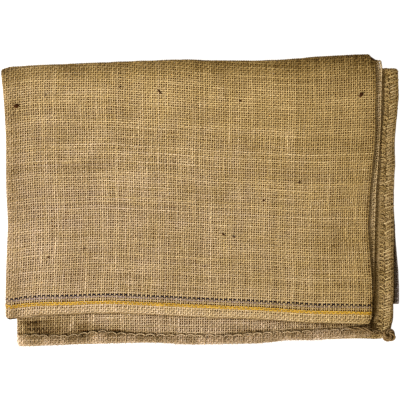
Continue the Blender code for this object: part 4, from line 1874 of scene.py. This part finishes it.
@dataclass
class ChainLoops(Sewing):
    """The looped thread that runs beside the overhead sewing, on the inner side of the sewn end."""

    name: str = "end_chain_loops"
    radius: float = 0.55 * MM
    points: int = 15
    seed: int = 24
    tone: float = -0.22
    tone_spread: float = 0.16
    tint: float = -0.8
    run: Pair = (-131 * MM, 126 * MM)
    inward: float = 11.6 * MM
    swing: float = 2.3 * MM
    back: float = 1.7 * MM
    pitch: float = 4.7 * MM
    size_spread: float = 0.28
    height: Pair = (0.6 * MM, 1.5 * MM)
    height_phase: float = 0.8

    def build(self) -> Object:
        """Makes the loops and dresses them.

        Returns:
            The piece.
        """
        starts, phase = self.starts(self.pitch), TURN * self.share
        count = len(starts)
        size = 1 + self.spread(count, self.size_spread)
        y = starts + self.pitch * self.share + self.back * size * np.sin(phase)
        x = self.form.end["third"](y) - self.inward + self.swing * size * np.cos(phase)
        out = mix(*self.height, 0.5 + 0.5 * np.sin(phase + self.height_phase))
        route = self.form.lay(x, y, out, Leaf.THIRD)
        return self.make(route, self.girth(count), self.spread(count, self.tone_spread) + self.tone)


@dataclass
class TailKnot(Sewing):
    """The tail of the sewing twine, tied in an overhand knot on the corner."""

    name: str = "twine_tail_knot"
    radius: float = 0.92 * MM
    points: int = 360
    seed: int = 23
    twine: Twine = Twine(1.0, 3, 0.35, 9.0, 8)
    tone_spread: float = 0.16
    along: float = 188.9 * MM
    across: float = -134.7 * MM
    reach: float = 3.7 * MM
    swing: float = 2.3 * MM
    rise: float = 2.4 * MM
    stray: float = 0.55 * MM
    rounds: int = 5
    crossings: int = 7
    open_angle: float = 0.10
    core_reach: float = 6.2 * MM
    core_drop: float = 0.6 * MM
    core_points: int = 13
    core_twine: Twine = Twine(0.28, 0, 0.0, 0.0, 16)
    # painted shade inside the knot
    core_shade: float = -0.55

    def level(self) -> float:
        """The height of the middle of the knot's CAD solid."""
        low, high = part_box("seam_tail_knot")
        return (low.z + high.z) / 2

    def build(self) -> Object:
        """Makes the knot over its CAD solid and dresses it.

        Returns:
            The knot.
        """
        shape = (1, self.points)
        turn = mix(self.open_angle, TURN - self.open_angle, self.share)
        away = self.reach + self.swing * np.cos(self.crossings * turn)
        x = self.along + away * np.cos(self.rounds * turn)
        y = self.across + away * np.sin(self.rounds * turn)
        z = self.level() + self.rise * np.sin(self.crossings * turn)
        route = (np.stack([x, y, z]) + self.stray * wander(self.rng, (3, self.points), 11.0)).T[None]
        size = self.radius * (1.08 + 0.05 * wander(self.rng, shape, 5.0))
        place = np.arange(self.points)
        size = size * ease(np.minimum(place, place[::-1]) / 4 + 0.35)
        return self.make(route, size, self.tone_spread * wander(self.rng, shape, 6.0))

    def core(self) -> Object:
        """Makes the wad of twine inside the knot, darkened with painted shade where it shows between the
        strands, and dresses it.

        Returns:
            The wad.
        """
        share = np.linspace(-1, 1, self.core_points)[None]
        x = self.along + self.core_reach * share
        route = np.stack([x, 0 * x + self.across, 0 * x + self.level() - self.core_drop], axis=-1)
        girth = self.core_reach * np.sqrt(np.maximum(1 - share**2, 0.01))
        rings, tone = sweep(route, girth, self.core_twine), 0 * share + self.core_shade
        return Strands(f"{self.name}_core", [self.material], rings, tone, 0 * share).make()


@dataclass
class SeamTail(Sewing):
    """The end of the long side's sewing twine, which runs over the hem to the knot."""

    name: str = "seam_tail_twine"
    radius: float = 0.85 * MM
    points: int = 40
    seed: int = 25
    twine: Twine = Twine(1.0, 2, 0.3, 9.0, 8)
    tone: float = -0.16
    tone_spread: float = 0.14
    strands: int = 3
    apart: float = 1.5 * MM
    flatness: float = 0.5
    winds: float = 1.6
    stray: float = 0.2 * MM
    taper: int = 4
    step_down: Slope = Slope(168 * MM, 7 * MM)

    def build(self) -> Object:
        """Makes the strands and dresses them.

        Returns:
            The piece.
        """
        along, across = np.array(TAIL_LINE).T * MM
        on_second = self.form.lay(along, across, 1.2 * MM, Leaf.SECOND)
        on_third = self.form.lay(along, across, 1.4 * MM, Leaf.THIRD)
        guide = mix(on_second, on_third, self.step_down.at(along)[:, None])
        line = [Curve(np.linspace(0, 1, len(guide)), places)(self.share) for places in guide.T]
        turn = TURN * (self.winds * self.share + np.arange(self.strands)[:, None] / self.strands)
        aside = self.apart * np.cos(turn) + self.stray * wander(self.rng, turn.shape, 6.0)
        rise = self.flatness * self.apart * np.sin(turn)
        route = np.stack(np.broadcast_arrays(line[0], line[1] + aside, line[2] + rise), axis=-1)
        size = self.radius * np.ones((1, self.points))
        size[:, : self.taper] *= np.linspace(0.3, 1.0, self.taper)
        tone = self.tone + self.tone_spread * wander(self.rng, turn.shape, 5.0)
        return self.make(route, size, tone)


@dataclass
class BarkFlecks(Sewing):
    """Dark bits of bark caught in the yarns of the upper leaf."""

    name: str = "bark_flecks"
    radius: float = 0.5  # of the width
    points: int = 7
    seed: int = 0
    twine: Twine = Twine(0.4, 0)
    lift: float = 0.85 * MM

    def build(self) -> Object:
        """Makes the flecks and dresses them.

        Returns:
            The piece.
        """
        along, across, length, width, heading = np.array(FLECKS).T[:, :, None]
        share = self.share - 0.5
        x = (along + length * share * np.cos(heading)) * MM
        y = (across + length * share * np.sin(heading)) * MM
        route = self.form.lay(x, y, self.lift, Leaf.UPPER)
        size = self.radius * width * MM * np.sqrt(np.maximum(1 - (2 * share) ** 2, 0.04))
        return self.make(route, size, 0 * size)


@dataclass
class LooseFibres(Sewing):
    """Single fibres that stand off the cloth and its edges."""

    name: str = "loose_fibres"
    radius: float = 0.07 * MM
    points: int = 5
    seed: int = 31
    twine: Twine = Twine(1.0, 0, sides=3)
    count: int = 1500
    edge_count: int = 1500
    hem_count: int = 2400
    lift: float = 0.7 * MM
    taper: float = 0.6

    def draw(self, low: float, high: float, count: int) -> Array:
        """A random value within a range for each fibre."""
        return self.rng.uniform(low, high, (count, 1))

    def build(self) -> Object:
        """Makes the fibres and dresses them.

        Returns:
            The piece.
        """
        route = np.concatenate([self.upper(), self.edges(), self.hem()])
        size = self.radius * (1 - self.taper * self.share)[None]
        tone = self.draw(-0.1, 0.3, len(route)) + 0 * self.share
        tone[-self.hem_count :] -= 0.1 + self.form.hem_darkening(route[-self.hem_count :, :, 0])
        return self.make(route, size, tone)

    def upper(self) -> Array:
        """Routes of the fibres that lie over the upper leaf.

        Returns:
            Their points: fibre, point, xyz.
        """
        count, share = self.count, self.share
        heading = self.draw(0, TURN, count)
        length = self.draw(2.0, 7.0, count) * MM
        turn = heading + self.rng.normal(0, 0.9, (count, 1)) * share
        step = length / self.points
        x = self.draw(-0.190, 0.172, count) + step * np.cumsum(np.cos(turn), axis=1)
        y = self.draw(-0.118, 0.134, count) + step * np.cumsum(np.sin(turn), axis=1)
        out = self.lift + self.draw(0.1, 1.0, count) * MM * np.sin(math.pi * share * 0.8)
        return self.form.lay(x, y, out, Leaf.UPPER)

    def edges(self) -> Array:
        """Routes of the fibres that stand out of the sewn side's hem.

        Returns:
            Their points: fibre, point, xyz.
        """
        count, share = self.edge_count, self.share
        x = self.draw(-0.178, 0.182, count) + 2 * MM * self.rng.standard_normal((count, 1)) * share
        y = self.form.side["second"](x[:, :1]) + self.draw(-1.0, 5.0, count) * MM
        start = self.form.lay(x[:, :1], y, 0.6 * MM, Leaf.SECOND)
        route = np.repeat(start, self.points, axis=1)
        route[..., 0] = x
        route[..., 1] -= self.draw(0.5, 2.4, count) * MM * share
        route[..., 2] += self.draw(-0.5, 0.6, count) * MM * share
        return route

    def hem(self) -> Array:
        """Routes of the fibres that lie over the sewn side's hem.

        Returns:
            Their points: fibre, point, xyz.
        """
        count, form, share = self.hem_count, self.form, self.share
        heading = self.draw(0, TURN, count) + self.rng.normal(0, 0.8, (count, 1)) * share
        length = self.draw(1.5, 4.5, count) * MM
        x = self.draw(-0.181, 0.170, count) + length * share * np.cos(heading)
        low, high = form.side["second"](x) - 0.5 * MM, form.seam_line(x) - 1.5 * MM
        y = mix(low, high, self.draw(0.0, 1.0, count)) + 0.5 * length * share * np.sin(heading)
        out = (0.75 + self.draw(0.1, 0.6, count) * np.sin(math.pi * share * 0.8)) * MM
        return form.lay(x, y, out, Leaf.SECOND)


@dataclass
class Studio:
    """A pale floor, soft light from the lower left and a camera straight above."""

    lens: float = 200.0
    sensor: float = 36.0
    view_width: float = 0.400
    top_of_stack: float = 7 * MM
    floor_size: float = 8.0
    floor_drop: float = 0.2 * MM
    sky: Colour = (1.0, 0.88, 0.64)
    sky_strength: float = 0.26

    def floor(self) -> None:
        """The floor."""
        ways = np.array([(-1.0, -1.0), (1.0, -1.0), (1.0, 1.0), (-1.0, 1.0)])
        corners = np.concatenate([ways * self.floor_size / 2, np.full((4, 1), -self.floor_drop)], axis=1)
        material = FloorFinish("pale_floor", (0.45, 0.45, 0.45)).material()
        new_object("floor", corners, np.arange(4), np.array([4]), [material])

    def camera(self) -> None:
        """The camera, straight above the middle of the sack."""
        data = bpy.data.cameras.new("camera")
        data.lens = self.lens
        data.sensor_width = self.sensor
        data.clip_end = 50.0
        camera = bpy.data.objects.new("camera", data)
        camera.location = (0.0, 0.0, self.view_width * self.lens / self.sensor + self.top_of_stack)
        bpy.context.scene.collection.objects.link(camera)
        bpy.context.scene.camera = camera

    def lamp(self, name: str, place: Colour, size: float, power: float) -> None:
        """A soft lamp that faces the sack.

        Args:
            name: its name.
            place: where it stands.
            size: its width.
            power: its power in watts.
        """
        data = bpy.data.lights.new(name, "AREA")
        data.shape = "DISK"
        data.size = size
        data.energy = power
        lamp = bpy.data.objects.new(name, data)
        lamp.location = place
        lamp.rotation_euler = (-Vector(place)).to_track_quat("-Z", "Y").to_euler()
        bpy.context.scene.collection.objects.link(lamp)

    def build(self) -> None:
        """Sets up the floor, lights and camera."""
        self.floor()
        self.camera()
        self.lamp("key", (-1.3, -1.5, 1.25), 0.7, 49.2)
        self.lamp("side", (-0.7, 0.0, 0.6), 0.5, 3.2)
        world = bpy.data.worlds.new("studio")
        world.use_nodes = True
        back = world.node_tree.nodes["Background"]
        back.inputs["Color"].default_value = (*self.sky, 1.0)
        back.inputs["Strength"].default_value = self.sky_strength
        bpy.context.scene.world = world
        bpy.context.scene.view_settings.view_transform = "Standard"
        bpy.context.scene.cycles.use_denoising = False


def report(piece: Object) -> None:
    """Logs a piece and its triangles."""
    piece.data.calc_loop_triangles()
    LOG.info("%s: %d triangles", piece.name, len(piece.data.loop_triangles))


def main() -> None:
    """Builds the sack around the frame, piece by piece."""
    logging.basicConfig(level=logging.INFO, format="%(name)s: %(message)s")
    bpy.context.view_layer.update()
    Studio().build()
    form = FoldedForm()

    # the second colour is the painted shadow seen through the gaps between the yarns
    ground = GroundFinish("hessian_ground", from_screen(194, 166, 118), from_screen(84, 46, 6), 430.0, 940.0)
    cloth = GroundCloth(form, ground.material()).build()
    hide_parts("sack_cloth")
    woven = WovenFaces(form)
    yarns = woven.build()

    twine = YarnFinish("seam_twine", from_screen(222, 196, 150), 30.0, 60, relief=0.2 * MM).material()
    knotted = YarnFinish("knot_twine", from_screen(158, 131, 92), 60.0, 1, 6.0, relief=0.2 * MM).material()
    sewing = [piece(form, twine).build() for piece in (HemLoops, EndStitches, ChainLoops)]
    tail_knot = TailKnot(form, knotted)
    knot = tail_knot.build()
    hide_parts("seam_tail_knot")
    sewing += [knot, tail_knot.core(), SeamTail(form, knotted).build()]
    bark = BarkFinish("bark", from_screen(74, 42, 16)).material()
    specks = [BarkFlecks(form, bark).build(), LooseFibres(form, woven.hessian).build()]

    for piece in (cloth, *yarns, *specks):
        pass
    sewn_on = [*yarns, *sewing, *specks]
    for piece in (cloth, *sewn_on):
        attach(piece, "root")
        report(piece)


if __name__ == "__main__":
    main()
